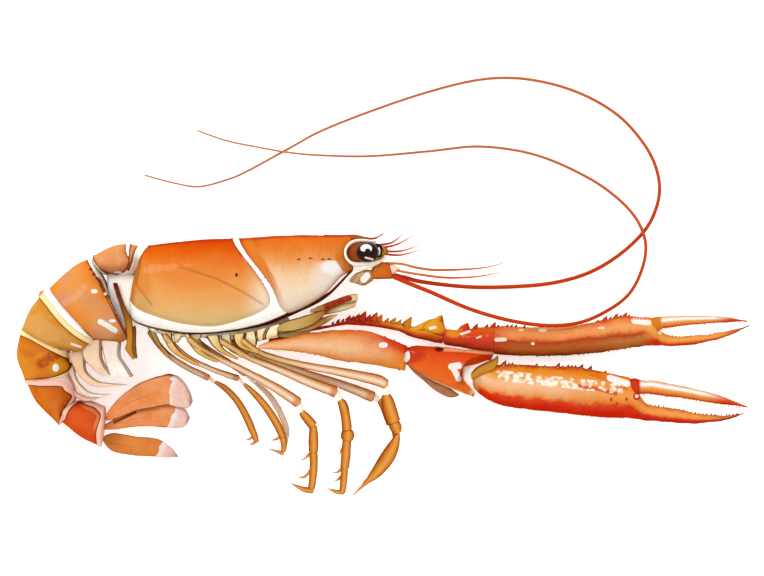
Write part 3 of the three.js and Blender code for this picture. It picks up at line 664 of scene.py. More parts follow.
# ---- Small antennae
# Two thin whips on one short pale root on each side, above the long antenna.
WHIP_ROOT = rows("50.2 6.9 3.8, 51.6 6.7 51.8 3.4, 53.2 6.2 53.4 4.2, 54.6 5.6 4.8")
WHIPS = groups("""
    50.4 6.9 0.36, 55 6.7 0.34, 59.6 5.6 0.36, 65.8 5 0.36, 77.6 5.6 0.24, 84.9 7.5 0.08; 52.4 5.2 0.34,
    57.3 4.2 0.34, 65.8 3 0.34, 72 2.9 0.3, 77.6 3.4 0.22, 82.6 4.5 0.08""")


def whip_paint(on):
    x = on.place()[0]
    wash = on.mottle(3, 4)
    shade = (x + 6 * (wash - 0.5)).shades("e0843c dd7436 d85a24 dc6a34 e48c5c", 50, 85)
    bare = (on.kept("tip") + 0.3 * (wash - 0.5)).rise(0.45, 0.55)
    return bare.over(shade, "fbe6cc"), wash, 0.03


whip_shell = finish("thin_whip_shell", whip_paint, 0.42)
for side, mirror in SIDES:
    bm = new_piece()
    away = MID_Z + mirror * 3.2
    loft(bm, Skin(profile(WHIP_ROOT, away, away, 0.8), (0.4, 0.4)), 24, 20, tip=1)
    for i, whip in enumerate(WHIPS):
        sections = limb(whip, MID_Z + mirror * 3.6, MID_Z + mirror * (2.6 + 1.2 * i), 1)
        loft(bm, Skin(sections, (0.1, 0.1)), 10, 60)
    place_piece("small_antennae_" + side, bm, whip_shell, "whips_" + side)

# ---- Belly
# The keel under the shield that carries the legs: a narrow core, and on each side a row of overlapping olive
# and cream plates with dark edges, which the hips of the legs come out between.
KEEL = rows("""
    -15.2 -10.4 -14.8 -12 3, -9.8 -11 -9.4 -13.2 4, -1.4 -11.6 -1.4 -13.8 4.4, 8.4 -11 8.6 -14.6 4.4,
    15 -9.6 15.6 -14.6 4, 20 -8.6 21.4 -13.2 3, 23.6 -7.6 25 -11.6 2.2""")
# Each plate of one side, and how far each of them stands from the middle plane.
KEEL_PLATES = groups("""
    -13 -11.4 -15.6 -11, -12.2 -12.6 -13.2 -12.4, -9.2 -12.9 -9.6 -13.2; -5.2 -12.6 -8.6 -12.6,
    -6.4 -13.8 -8.2 -14.4, -7.4 -15.2 -7.8 -15.5; -0.4 -12.8 -4 -12.8, -0.8 -13.8 -3.2 -14.2,
    -1.8 -14.4 -2.4 -14.6; 7.6 -12.6 4.8 -12.9, 7.8 -15 5.6 -15.6, 9.4 -17 8 -17.8, 11.2 -19.2 10.7 -19.6;
    14.2 -11.8 11.8 -12.3, 14.7 -14 11.6 -14.6, 14.6 -15.4 12.8 -16, 14.4 -16.3 13.8 -16.6;
    17.9 -10.8 14.6 -11.8, 16.7 -12.8 15 -13.8, 16.6 -14.3 15.5 -15; 21.4 -9.8 18.3 -10.8,
    20.9 -11.8 17.2 -13, 20.8 -13.2 17.2 -14.5""")
KEEL_REACH = (4.2, 4.2, 4.2, 4.4, 4.6, 5, 5.2)


def belly_paint(on):
    y = on.place()[1]
    wash = on.mottle(1.5, 4)
    shade = (wash + 0.08 * (y + 15)).shades("dcb05c f2d898 fcf2dc", 0.1, 0.9)
    shade = (on.kept("along").rise(0.3, 1) * 0.5).over(shade, "c8943c")
    return abs(on.kept("high")).rise(0.74, 0.9).over(shade.brighter(1.2), "561e0c"), wash, 0.15


bm = new_piece()
body = loft(bm, Skin(slices(KEEL, MID_Z), (1, 1.4)), 40, 110)
for plate, away in zip(KEEL_PLATES, KEEL_REACH):
    for side in (-1, 1):
        z = MID_Z + side * away
        body += loft(bm, Skin(profile(plate, z, z, depth=0.5), (0.2, 0.3)), 20, 24)
roughen(bm, body, 0.16, 1.4)
place_piece("belly_keel", bm, finish("olive_belly_skin", belly_paint, 0.5), "belly")

# ---- Mouth feelers
# Leaf shaped jaws of tan and olive shell, one with a dark red streak, laid one over another under the shield.
JAWS = groups("""
    29.6 -6 -7, 33 -4.6 33.6 -6.3, 36.5 -3.2 36.9 -5.2, 40 -2 40.2 -4.2, 42.9 -1.6 42.8 -3.6; 31 -7.2 -7.9,
    34.2 -5.6 34.8 -7.3, 38 -4.4 38.6 -6.4, 42.6 -3.4 42.2 -5.2; 20.2 -11 -11.8, 22.4 -9.4 22.8 -12.3,
    26.4 -8.2 27 -11.6, 30.4 -7 31 -9.9, 33.6 -6 33.8 -7.2; 25.6 -11.6 -12.4, 29.6 -9.8 30 -11.6,
    33.6 -8 34 -9.8, 37.2 -7.2 -7.6; 19.8 -12.6 -13.4, 23.6 -12.2 24 -14, 27.6 -11.2 28.2 -13,
    31.4 -10 31.6 -10.9""")
JAW_REACH = (5, 3.8, 5.4, 4.4, 3.4)  # how far each stands from the middle plane


def jaw_paint(on):
    x = on.place()[0]
    wash = on.mottle(1.2, 4)
    shade = (x + 3 * (wash - 0.5)).shades("c9a050 d2b06a c69a52 a8642c ecd2a0 e9c08a", 20, 43)
    streak = on.stroke(1.9, rows("34.2 -5.1, 40.4 -2.9"), soft=0.2)
    shade = streak.over(shade, wash.blots("7a1c0a b8401c"))
    return abs(on.kept("high")).rise(0.72, 0.93).over(shade, "6b3010"), wash, 0.1


jaw_shell = finish("olive_jaw_shell", jaw_paint, 0.42)
for side, mirror in SIDES:
    bm = new_piece()
    for jaw, away in zip(JAWS, JAW_REACH):
        z = MID_Z + mirror * away
        roughen(bm, loft(bm, Skin(profile(jaw, z, z, 0.4), (0.3, 0.4)), 24, 30), 0.1, 1.2)
    place_piece("jaws_" + side, bm, jaw_shell, "mouth_feeler_" + side, levels=1)

# ---- Tail rings
# Six stiff hoops, each a plate of orange shell that thickens to a brown lip, on a neck of pale soft skin
# that slides under the plate before it. The last one is the reddest.
# For each ring: its sections, the outlines of its plates, and the colours of the plate and of its blotches.
RINGS = [
    (
        """
        -15.2 9.8 -18.4 3.8 7, -17.4 11 -19.8 3.6 8.4, -19 12.2 -21.2 3.6 10.6, -24.6 12.4 -24.2 3.1 11.4,
        -30.6 9.6 -27.4 3.7 11.6""",
        """
        -33 10.9, -30.8 14.6, -26 16.2, -21.5 16, -21.4 11.4, -20.8 9.2, -20.2 8.1, -20.3 6.4, -21.4 4.6,
        -23 3.8, -25 3.3, -27 3.7, -28.8 5.4, -31.2 8.9; -20.3 16.2, -17.9 16.2, -18.2 12, -18.8 9.6,
        -19.3 7.2, -20.1 5.2, -20.7 4.6, -21 5.2, -20.4 6.4, -20.3 8.6, -20.4 11""",
        "e08242 edaa72 eda267", "e8955a",
    ),
    (
        """
        -29.6 7.2 -22.4 -11.8 10, -31 7.8 -21.6 -13.4 11.2, -32.2 8.4 -20.8 -14.2 11.9,
        -37 6.1 -23.8 -15.7 12.4, -43 0.6 -29.6 -15 12.3""",
        """
        -46.6 2.4, -41.2 8.7, -37.8 10.6, -34.4 11.8, -32.4 8.1, -29.2 3.4, -27.2 0, -24.8 -5, -22.8 -9.6,
        -21.2 -13, -21.5 -15.2, -24.6 -16, -28 -15.5, -30.3 -14.8, -32 -13, -36 -9, -40 -4.6, -43.7 0""",
        "e67f22 ee9038 ea9a50", "de9468",
    ),
    (
        """
        -41.8 0.2 -29.8 -14.2 11.2, -43.4 -0.2 -30.4 -15.6 11.9, -45 -0.9 -31 -16.6 12,
        -48.7 -5.4 -33 -18.4 12, -51 -10.8 -37.6 -18 11.8""",
        """
        -54.3 -11.8, -53.2 -5.9, -49.6 -0.8, -46.8 -1.8, -44.7 -3.3, -42 -6.4, -39 -9.8, -36 -12.6,
        -33.5 -14.4, -31.4 -15.7, -31.6 -17.4, -32.6 -18.5, -35.3 -19, -38.2 -18.5, -40.6 -17.6, -45 -15.6,
        -48 -13.9, -51 -12.1""",
        "d48824 e0a050 e0a054", "da8c28",
    ),
    (
        """
        -49.6 -9.8 -37.4 -17.4 10.4, -51 -11.6 -37.6 -18.8 11, -51.8 -13.2 -37.4 -20 11.2,
        -52.6 -19.2 -36.4 -22 11.3, -50.6 -25.2 -38 -24.2 11""",
        """
        -54.9 -12.6, -55.4 -17.9, -54.9 -23, -52.4 -27.4, -49.9 -25.9, -44.7 -25.4, -40.6 -24.6, -37.4 -23.1,
        -36.7 -21.1, -37.6 -19.6, -39 -18.8, -42 -17.2, -46 -15.1, -48.8 -13.7, -51 -13""",
        "d46c14 dc7c20 d2691a", "e0942a",
    ),
    (
        """
        -49.6 -23.8 -38.4 -23.4 9.8, -50.2 -25.4 -37 -25.6 10.4, -49.8 -26.8 -35.9 -28.4 10.5,
        -47 -32.2 -36 -31.2 10.4, -41.2 -37.9 -38.6 -34.6 10""",
        """
        -52.6 -27.4, -51 -32.5, -47.6 -37.2, -42 -40.6, -39.9 -37.5, -38.8 -34.6, -37.2 -31.8, -36.5 -30.6,
        -36.6 -29.6, -38.2 -28.4, -39.5 -27.1, -45 -27.1""",
        "c45a12 d4661a d06414", "dc7820",
    ),
    (
        """
        -43 -35.8 -38.4 -32.2 8.8, -41.2 -37.4 -36.6 -31.8 9.3, -39.2 -38.4 -35.2 -31.4 9.3,
        -34.6 -42.2 -31.6 -31.6 9, -29.6 -44.4 -28.4 -33 7.6""",
        """
        -42 -36.4, -41.2 -41.4, -36.4 -45.4, -30.4 -47.3, -29.9 -43.9, -29.7 -40, -28.8 -37, -28.5 -35.2,
        -29.3 -34, -30.4 -33, -32 -32.4, -35 -31.5, -37.3 -33.6, -38.9 -36.8""",
        "d9440c e0521c dc4c14", "e65c20",
    ),
]
# Painted highlights: white wet glints painted into the rings' colour.
PAINTED_GLINTS = rows("""
    -29.8 -0.9 0.95 0.6, -26.8 -1.6 0.5 0.4, -24.9 -9.1 0.95 0.45, -40.7 -22.1 0.85 1.1,
    -23.7 4.3 1.2 0.3""")  # x, y and half sizes
BEADS = rows("-30.8 5.2, -29.9 3.8, -29 2.6, -28.1 1, -27.3 -0.4, -26.6 -2")
KNOB = (-44.6, -2, 15.6)
LIP = 0.9  # how far a ring runs on past its last section, in mm
# The soft skin's colours: its two tones, how it starts, and its line along the plate.
WHITE_SKIN = ("fffaf2 fffdf8", "fffaf0", "f0d8a8")
CREAM_SKIN = ("fffaf0 fffdf6", "f6dca0", "b89848")
PINK_SKIN = ("fbd0c2 fde2d8", "f6c0ac", "eeae98")


def ring_paint(number, codes, blotch, skin_codes):
    def paint(on):
        x, y = on.place()
        inside = on.kept("inside")
        wash = on.mottle(5, 4)
        grain = on.mottle(1.1, 4)
        drift = inside + 3.6 * (wash - 0.5) + 1.4 * (grain - 0.5)
        plate = (on.mottle(8, 2).rise(0.5, 0.66) * 0.8).over(drift.shades(codes, 0, 4.5), blotch)
        if number == 2:
            plate = plate.marks("e0a072 0.7 0.8 -26.4 -11.6 4.6 4.4, d08a3c 0.7 0.6 -23 -14.4 2.6 1.6")
        if number == 4:
            plate = plate.marks("e0981c 0.8 0.6 -39.4 -22 3 2.6")
            blush = on.stroke(3.6, rows("-40.8 -18.4, -44.6 -20.8"))
            plate = (blush * 0.75 * grain.rise(0.25, 0.6)).over(plate, "a83410")
        if number == 6:
            plate = ((1 - inside.rise(0.9, 1.3)) * (x + 0.5 * y).rise(-51, -49)).over(plate, "ee8450")
        plate = plate.coats(
            (1 - inside.rise(0.15, 0.8)) * 0.3, "b8561c",
            (1 - inside.rise(0.16, 0.4)) * 0.85, "7a2c0e",
            on.kept("high").rise(0.965, 0.995) * 0.6, "8e300e",
        )
        # Painted highlights: white wet glints painted into the plate's colour, as ovals and as strokes.
        for spot in PAINTED_GLINTS:
            plate = on.patch(*spot, 0.25, 0.7).over(plate, "fffaf0")
        plate = plate.marks(
            "fffaf0 1 0.3 1.7 -28.2 -9.3 -26.4 -10.3 -24.3 -11.7, fffaf0 1 0.3 0.7 -36.2 -15.5 -33.9 -16.3"
        )
        tones, first, line = skin_codes
        soft = inside.rise(-1.5, -1.3).over(on.blots(tones, 1.8), first)
        if number > 2:
            soft = (on.kept("tip") * 0.6).over(soft, "d8b870")
        soft = ((1 - abs(inside + 1.4).rise(0.05, 0.25)) * 0.6).over(soft, line)
        return inside.rise(-0.08, 0.08).over(soft.brighter(1.22), plate), on.mottle(0.5, 2) + 2 * wash, 0.1

    return paint


def add_ball(bm, x, y, height, radius, depth):
    """A ball of shell that shows in the plate's colour at that depth inside its edge."""
    spot = Matrix.Translation(MIDDLE + Vector((x, y, height)) * MM)
    ball = bmesh.ops.create_icosphere(bm, subdivisions=2, radius=radius * MM, matrix=spot)["verts"]
    for vert in ball:
        vert[bm.verts.layers.float["inside"]] = depth


for index, (sections, plates, codes, blotch) in enumerate(RINGS):
    number = index + 1
    sections = rows(sections)
    before_end, end = sections[-2:]
    across = Vector((end[0] - end[2], end[1] - end[3])).normalized()
    lip = Vector((-across.y, across.x)) * LIP
    if lip.dot(Vector(end[:2]) - Vector(before_end[:2])) < 0:
        lip = -lip
    sections.append((end[0] + lip.x, end[1] + lip.y, end[2] + lip.x, end[3] + lip.y, end[4] * 0.985))
    z = min(MID_Z, max(row[4] for row in sections) - 0.2)
    bm = new_piece()
    body = loft(bm, Skin(slices(sections, z), (0.6, 0.5), 0.86), 130, 84, 0.04)
    lay_plates(bm, body, groups(plates), thickness=0.4)
    roughen(bm, body, lambda vert, spot: 0.05 * uneven(spot, 1) + 0.16 * uneven(spot, 5))
    if number == 2:
        for x, y in BEADS:
            add_ball(bm, x, y, MID_Z + 11.4 - 0.045 * (x + 26) ** 2, 0.5, 0.1)
    if number == 3:
        add_ball(bm, *KNOB, 1.4, 4.4)
    skin_codes = WHITE_SKIN if number < 3 else CREAM_SKIN if number < 5 else PINK_SKIN
    paint = ring_paint(number, codes, blotch, skin_codes)
    material = finish("boiled_ring_shell_%d" % number, paint, *SHELL)
    slot = "last_ring_shell" if number == len(RINGS) else "tail_shell"
    place_piece("tail_hoop_%d" % number, bm, material, "tail_ring_%d" % number)

# ---- Neck skin
# Soft pale skin that closes the wedge between the shield and the first two hoops.
NECK = rows("""
    -27.4 5 -26 -8 4.6, -24.6 5.4 -23.6 -10.4 5.4, -21.6 5.2 -20.8 -11 5.6, -18.4 4.2 -16.6 -9.6 5.4""")


def skin_paint(on):
    wash = on.mottle(2.4, 4)
    return wash.blots("fffaf2 fffdf8").brighter(1.28), wash, 0.1


bm = new_piece()
roughen(bm, loft(bm, Skin(slices(NECK, MID_Z), (1, 1)), 60, 30), 0.2, 2.6)
place_piece("neck_skin", bm, finish("pale_neck_skin", skin_paint, 0.45), "tail_neck")

# ---- Tail fan
# Five thin blades on the last ring: orange shell with a rib, a brown edge and a soft pink and white end.
# For each: its rows, the share of its length where the soft end starts, and its colours.
ORANGE = "ea8440 f08f50 f39c60 f2a470"
BLADES = {
    "middle": ("""
        -28.4 -41.3 -28.6 -43, -25.9 -40.6 -45.7, -21.7 -41.1 -46.6, -17.6 -41.7 -47, -13.5 -42.2 -47.3,
        -10.2 -43.9 -47.5, -7.4 -46.9 -47.4""", 0.7, "d97a30 e08438 e8924c"),
    "inner": ("""
        -28.6 -38.6 -28.3 -39.6, -24.2 -36.1 -39.4, -19.7 -34.2 -38.7, -15.2 -33 -38.7, -11.1 -32.1 -38.9,
        -8.2 -32.8 -39, -5.9 -33.8 -5.7 -38.7, -4.5 -35.8 -37""", 0.66, ORANGE),
    "outer": ("""
        -27.7 -35.6 -27.6 -37.2, -25 -31.9 -23.4 -36, -20.5 -28 -18.9 -34.2, -16.4 -25.8 -14.4 -33.4,
        -13.1 -24.7 -10.7 -32.7, -10.2 -24.1 -9 -32.9, -7.4 -25 -7 -33.4, -5.3 -27.2 -4.7 -33.5,
        -3.7 -30.9 -3.9 -32.6""", 0.62, ORANGE),
}
FAN_Z = 8.4


def blade_paint(place):
    def paint(on):
        along, high = on.kept("along"), on.kept("high")
        wash, fine = on.mottle(4, 4), on.mottle(1, 4)
        _, soft_from, codes = BLADES[place]
        line = along - soft_from + 0.16 * (on.mottle(2.2, 3) - 0.5) - 0.06 * high
        end = (line.rise(0.02, 0.12) * 0.9).over(wash.blots("fdf4ec f6dccc"), fine.blots("f4bca8 f8d4c6"))
        rib = 1 - abs(high + 0.1).rise(0.01, 0.06)
        shade = line.rise(0, 0.008).over((wash + 0.3 * fine).shades(codes, 0.35, 0.95), end)
        shade = shade.coats(
            (1 - abs(line).rise(0.002, 0.012)) * 0.6, "c87850",
            abs(high).rise(0.89, 0.96) * 0.85, line.rise(0, 0.02).over("963c12", "d8907c"),
            rib * (1 - along.rise(0.2, 0.6)) * 0.35, "a04416",
        )
        if place == "inner":
            shade = shade.marks("7a2a0c 0.9 0.5 0.9 -25.2 -37.6 -22 -36 -19.3 -34.7")
        return shade, 0.5 * ((high * 34).maths("SINE") * along.rise(0.5, 0.9)) + wash, 0.06

    return paint


def blade(name, place, from_z, to_z, node):
    bm = new_piece()
    sections = profile(rows(BLADES[place][0]), from_z, to_z, depth=0.6)
    body = loft(bm, Skin(sections, (0.6, 0.8), 0.9), 80, 80)
    high, along = bm.verts.layers.float["high"], bm.verts.layers.float["along"]

    def lift(vert, spot):
        rib = 0.22 * max(0, 1 - abs(vert[high] + 0.1) / 0.14) * (1 - vert[along])
        rays = 0.05 * math.cos(38 * vert[high]) * vert[along]
        return rib + rays + 0.16 * uneven(spot, 2.4)

    roughen(bm, body, lift)
    place_piece(name, bm, finish(name + "_shell", blade_paint(place), *SHELL), node)


blade("fan_blade_middle", "middle", FAN_Z, FAN_Z, "fan_middle")
for side, mirror in SIDES:
    for place, away in (("inner", 1.8), ("outer", 3.6)):
        from_z, to_z = FAN_Z + mirror * away, FAN_Z + mirror * (away + 1.4)
        blade("fan_blade_%s_%s" % (place, side), place, from_z, to_z, "fan_%s_%s" % (place, side))

# ---- Swimmerets
# Under the rings: a stiff brown pair in front, and four pairs of pale, limp, half clear paddles behind it.
# The first pale pair has two paddles a side.
STRIP = rows("""
    -25.1 1.5 -23.6 1.5, -24.5 -0.4 -23.2 -0.4, -23.6 -3.4 -22.3 -3.2, -22.7 -6 -21.2 -5.8,
    -22 -8.4 -19.9 -8.4, -21.5 -10.4 -19.5 -10.4, -21.2 -13 -19.3 -13, -21.2 -15.4 -19.4 -15.2,
    -21.6 -16.8 -19.3 -17.2, -20.2 -19 -19 -19.2, -19.6 -19.8 -19.3 -19.9""")
PADDLES = [
    ("f0dac6 f6e8dc fbf4ee", groups("""
        -28.4 -14.4 -23.4 -14.8, -27.8 -18 -23.6 -18.6, -27.2 -20.4 -22.6 -20.6, -26.6 -22.4 -21.4 -22.4,
        -25.9 -24.4 -19.9 -24.9; -34.2 -15 -28.6 -14, -33.4 -19.4 -28.7 -18.6, -31.3 -21.8 -28.2 -20.6,
        -29.5 -23.6 -27.3 -22.4, -27.4 -24.5 -25.9 -24""")),
    ("edc49c f2ceaa f8dfc4", groups("""
        -38 -18 -33 -17, -35.6 -22.8 -33.3 -22.2, -33.8 -25.2 -31.8 -24.5, -31.4 -27 -29.6 -26,
        -28.8 -27.5 -27.2 -26.5, -24.6 -27.3 -23.8 -26.8, -21.7 -27.1 -21.5 -26.9""")),
    ("f2ccae f8dcc6 fcebdd", groups("""
        -37.7 -23 -36.4 -21.8, -36.6 -25.6 -35.5 -25.2, -35 -28.2 -34 -27.4, -32.8 -30 -31.8 -29.1,
        -29 -30.4 -28.6 -29.6, -26.4 -29.8 -26.1 -29.5""")),
    ("f2ac94 f6c4b0 fae0d4", groups("""
        -39.4 -26 -38 -25.6, -37.8 -28.6 -36.4 -28, -35.8 -30.4 -34.6 -29.6, -33.4 -31.5 -32.4 -30.5,
        -31 -31.3 -30.4 -30.5, -28.4 -30.4 -28 -30.1""")),
]


def strip_paint(on):
    wash = on.mottle(1.6, 4)
    shade = (on.kept("along") + 0.3 * (wash - 0.5)).shades("5e2408 8a4a16 c27c26 cc8a34 c9802c", 0, 1)
    return (abs(on.kept("high")).rise(0.6, 0.9) * 0.85).over(shade, "64280c"), wash, 0.1


def paddle_paint(codes):
    def paint(on):
        wash = on.mottle(2, 4)
        shade = (wash + 0.4 * (on.kept("along") - 0.5)).shades(codes, 0.25, 0.8)
        shade = (on.kept("tip") * 0.8).over(shade, wash.blots("f0c298 f4d4b4"))
        return (abs(on.kept("high")).rise(0.8, 0.94) * 0.8).over(shade.brighter(1.12), "9a6a48"), wash, 0.06

    return paint


strip_shell = finish("brown_strip_shell", strip_paint)
for side, mirror in SIDES:
    bm = new_piece()
    z = MID_Z + mirror * 6.6
    roughen(bm, loft(bm, Skin(profile(STRIP, z, z, depth=0.7)), 24, 50), 0.12, 1.6)
    place_piece("stiff_swimmeret_" + side, bm, strip_shell, "swimmeret_1_" + side, levels=1)
for index, (codes, paddles) in enumerate(PADDLES):
    material = finish("pale_paddle_skin_%d" % (index + 2), paddle_paint(codes))
    for side, mirror in SIDES:
        bm = new_piece()
        for i, paddle in enumerate(paddles):
            z = MID_Z + mirror * (5.1 - 1.3 * index - 0.6 * i)
            roughen(bm, loft(bm, Skin(profile(paddle, z, z, depth=0.3)), 28, 40, tip=i), 0.14, 1.8)
        name = "swimmeret_%d_%s" % (index + 2, side)
        place_piece("pale_" + name, bm, material, name, levels=1)

# ---- Claws
# Each is an arm, a wrist and a hand that runs out into a fixed finger, with a second finger hinged on it.
# The shell is thick and grainy, with rows of thorns, and the fingers have rows of small blunt teeth.
# For each part: heights of root and tip, flatness, how soon its ends round off, how far its end is hollowed.
CLAWS = {
    "arm_right": ((20.2, 8.6), 0.72, (0.8, 0.25), -1.3, """
        15.1 -15.9 15.5 -16.9, 18.4 -14.8 -17, 23.3 -13.8 -17.4, 28.1 -12.6 -18.1, 34.5 -11.8 -19.5,
        39.2 -11.7 -20.5, 43.5 -11.8 -20.9, 47.4 -12.5 47.8 -21.5, 51 -13.9 51.7 -22.3, 54.1 -15.1 -22.8,
        57 -16.3 56 -23.2"""),
    "wrist_right": ((8, 5), 0.62, (0.5, 0.2), -7.4, """
        55.2 -17.9 55 -19.4, 56.1 -16.9 -21, 58.2 -16.3 58.6 -23, 61.2 -16.2 61.9 -25, 64.5 -16.4 65.1 -26.7,
        68 -16.7 68.2 -28, 71.8 -17.1 71.1 -29.1, 76.4 -17.5 73.6 -30, 81.4 -17.9 75.4 -30.6"""),
    "hand_right": ((7, 2.9), 0.62, (0.8, 0.3), 0, """
        74.3 -24.2 -25.6, 75.9 -22.6 75.6 -28.5, 78.8 -21.6 -31, 82.2 -21.5 -32.6, 86.2 -21.4 -33.4,
        91.7 -21.6 -34.2, 97.1 -21.9 -34.7, 102.5 -22.1 -35.4, 107.6 -22.7 -36, 112.4 -23.6 -36.4,
        116.4 -24.5 -36.5, 119.4 -25.6 -36.7, 121.9 -30.1 -37, 124 -32.5 -37.2, 127.5 -33.2 -37.5,
        132.3 -34 131.6 -37.9, 138.1 -35.2 137.4 -38.1, 143.4 -35.7 142.6 -37.7, 148.4 -35.6 147.8 -36.8,
        152.3 -34.8 152.2 -35"""),
    "finger_right": ((5.4, 2.9), 0.85, (0.5, 0.3), 0, """
        118.8 -25.4 119.4 -30.2, 120.6 -25.3 121 -30.2, 122.8 -25.9 -29.7, 125.6 -25.9 -29.9,
        129.3 -26.6 -30.4, 133.4 -27.4 -30.8, 137.5 -28.3 -31.5, 141.6 -29.3 -32.2, 145.2 -30.4 -32.7,
        149 -31.9 -33.1, 152.9 -33.6 -33.8"""),
    "arm_left": ((5.6, 3.4), 0.8, (0.6, 0.3), 0, """
        17.6 -14.4 17.8 -15.8, 22 -13.2 -15.2, 26 -11.6 -13.2, 30 -11 -12.1, 34.5 -10.3 -11.3,
        39.6 -9.1 -10.4, 44.5 -8.9 -10.6, 49.8 -9.2 49.6 -11.2, 54.5 -10.1 54.1 -12.2, 58.8 -10.9 -14.1,
        62 -10.9 -14.8, 66.8 -10.9 -15.7"""),
    "wrist_left": ((3.5, 3.8), 0.9, (0.5, 0.3), 0, """
        66.6 -11.4 -15.8, 70.6 -11.8 -16.5, 74.1 -11.4 -17.1, 77.7 -11 -17.9, 81.2 -10.8 -18.6"""),
    "hand_left": ((3.9, 2.2), 0.88, (0.5, 0.3), 0, """
        80.4 -10.9 -18.5, 84.9 -10.7 -18.9, 89 -10.9 -19, 93 -11.1 -19.1, 97.4 -11.1 -19, 101.9 -10.8 -18.9,
        105.9 -10.2 -18.6, 110 -9.4 -18.2, 114.1 -8.4 -17.6, 118 -7.9 -17, 122 -8.1 -16.5, 125.4 -8.5 -16.2,
        127.9 -12 -16.2, 130.5 -13.4 -16.3, 134 -13.6 -16.2, 138.4 -13.3 -15.7, 142.3 -12.9 142.5 -14.9,
        146.3 -12.2 147 -13.5, 149.8 -11.4 150.4 -12, 153 -10.4 153.1 -10.6"""),
    "finger_left": ((3.9, 2.4), 0.9, (0.5, 0.3), 0, """
        124.8 -8.4 -12.4, 127 -8.1 127.2 -12, 129 -8 -11.3, 132 -7.8 -10.9, 136 -7.8 -10.4, 139.6 -7.8 -10.1,
        142.8 -7.9 -9.9, 146 -8.1 -9.7, 149.6 -8.7 -9.5, 153.4 -9.4 -9.5"""),
}
# Thorns on the upper and on the lower edge, as x of the foot and length.
THORNS = {
    "arm_right": ("50.6 0.6, 53 0.6", "36 0.5, 40 0.5, 44 0.4, 54 0.7"),
    "wrist_right": ("74 0.5, 78 0.5",),
    "hand_right": ("""
        83.4 1.7, 84.8 0.9, 85.8 1, 88 0.5, 90.4 0.5, 92.6 1, 95 0.7, 98.6 1.5, 100 0.8, 101.4 1.1, 102.4 1,
        103.4 1.1, 105.1 1.6, 107.6 1.5, 112 0.9""",),
    "arm_left": ("""
        35.6 0.9, 37 1.3, 38.4 1, 39.8 1.8, 41 1.5, 42.2 2.1, 43.6 2.9, 45.4 1.9, 46.8 2.7, 48.4 2.2,
        50.6 1.4, 52.2 1.9, 53.8 1.7, 56 3.1""",),
    "wrist_left": ("75.6 1.7, 78.8 1.2, 80.6 1.8",),
    "hand_left": ("""
        82 0.9, 84.6 0.9, 85.8 0.9, 87 0.9, 89.4 0.9, 110 0.9, 112 1.6, 113.6 0.9, 115 1.6, 116.4 0.9,
        117.6 1.6, 118.8 0.9""",),
}
EDGES = (0.97, -0.97)  # how high on the limb the two edges lie
# Rows of small teeth: from x, to x, gap, height on the limb from -1 to 1, and length.
TEETH = {
    "arm_right": "24 56 1.7 -0.97 0.3",
    "hand_right": "81 118 0.9 -0.97 0.45, 84 112 1.3 0.9 0.4, 125 151 1.1 0.97 0.5",
    "finger_right": "123 151 1 -0.97 0.45",
    "hand_left": "88 126 1.2 -0.97 0.5, 92 110 1.7 0.97 0.35, 131 151 1.1 0.97 0.4",
    "finger_left": "128 151 1 -0.97 0.4",
}
# Big thorns, as x, y and half height down their length, and how high above the floor they stand.
BIG_THORNS = {
    "arm_left": ("64 -13 4.2, 64.6 -11.3 3.6, 65.5 -9.5 1.8, 66.4 -7.5 0.2; "
                 "57.4 -12.6 1, 60.6 -11.6 1.5, 63.8 -10.4 1.8, 65.4 -8.9 0.5", 4.2),
    "wrist_left": ("72.6 -13.2 2.6, 72.9 -11.4 1.6, 73.7 -9.8 0.2", 4.4),
    "wrist_right": ("72.6 -28.2 1.3, 74 -29.3 0.8, 75.5 -30.6 0.06", 6),
}
# The knuckle of the right hand, which the wrist's hollow end turns on.
KNUCKLE = rows("""
    74.4 -24 74.6 -25.8, 75.8 -22.3 76.7 -24.9, 77.8 -21.1 78.7 -24.2, 79.6 -20.3 80.3 -23.6,
    81.1 -19.6 81.3 -22.6, 82 -18.6 82.2 -20.4""")
FLAP = rows("""
    57 -21.2 -22, 59.5 -22.9 58.7 -24, 61.9 -24.4 61 -25.8, 65.4 -26.3 63.5 -28.1, 68.2 -27.9 65.8 -29.6,
    70.6 -29.4 68.2 -30.7, 71.4 -30 70.6 -30.6""")


def share_at(skin, x):
    """The share of a limb's length at which its middle has that x."""
    low, high = 0, 1
    for _ in range(20):
        middle = (low + high) / 2
        if spread(skin.sections, middle)[0] < x:
            low = middle
        else:
            high = middle
    return low


def thorn(bm, skin, x, height, length, lean=0.35):
    """A curved thorn with a wide foot, sunk in the skin at that x and height on the limb."""
    hoop = skin.hoop(share_at(skin, x))
    foot = skin.point(hoop, math.asin(height) / (2 * math.pi))[0]
    out = (foot - hoop[0]).normalized()
    along = (Vector(skin.sections[-1][:3]) - Vector(skin.sections[0][:3])).normalized()
    way = (out + along * lean).normalized() * length
    foot = foot - out * length * 0.25
    sections = []
    for reach, wide in ((0, 0.5), (0.3, 0.42), (0.65, 0.24), (1, 0.03)):
        spot = foot + way * reach * 1.2 + along * length * 0.12 * reach**2
        side = way.cross(Vector((0, 0, 1))).normalized() * length * wide
        sections.append((*spot, *side, length * wide, 0))
    tip, far = bm.verts.layers.float["tip"], bm.verts.layers.float["along"]
    for vert in loft(bm, Skin(sections, (0.05, 0.05)), 8, 6, crowd=0):
        vert[tip] = vert[far]


def arm_right_paint(on, x, drift, wash):
    shade = drift.shades("e08438 f4ac70 fbc492 f8b884 f2a05c e8762c")
    end = drift.shades("ee8a2c f09038 ee7c34 dc3c14 d83410")
    shade = (on.kept("along") + 0.3 * (wash - 0.5)).rise(0.5, 0.95).over(shade, end)
    # The white spot is a painted glint, a highlight painted into the shell's colour.
    return on.patch(49.9, -15.9, 1.3, 0.8, 0.2, 0.4).over(shade, "fffaf2"), "6e1c0c"


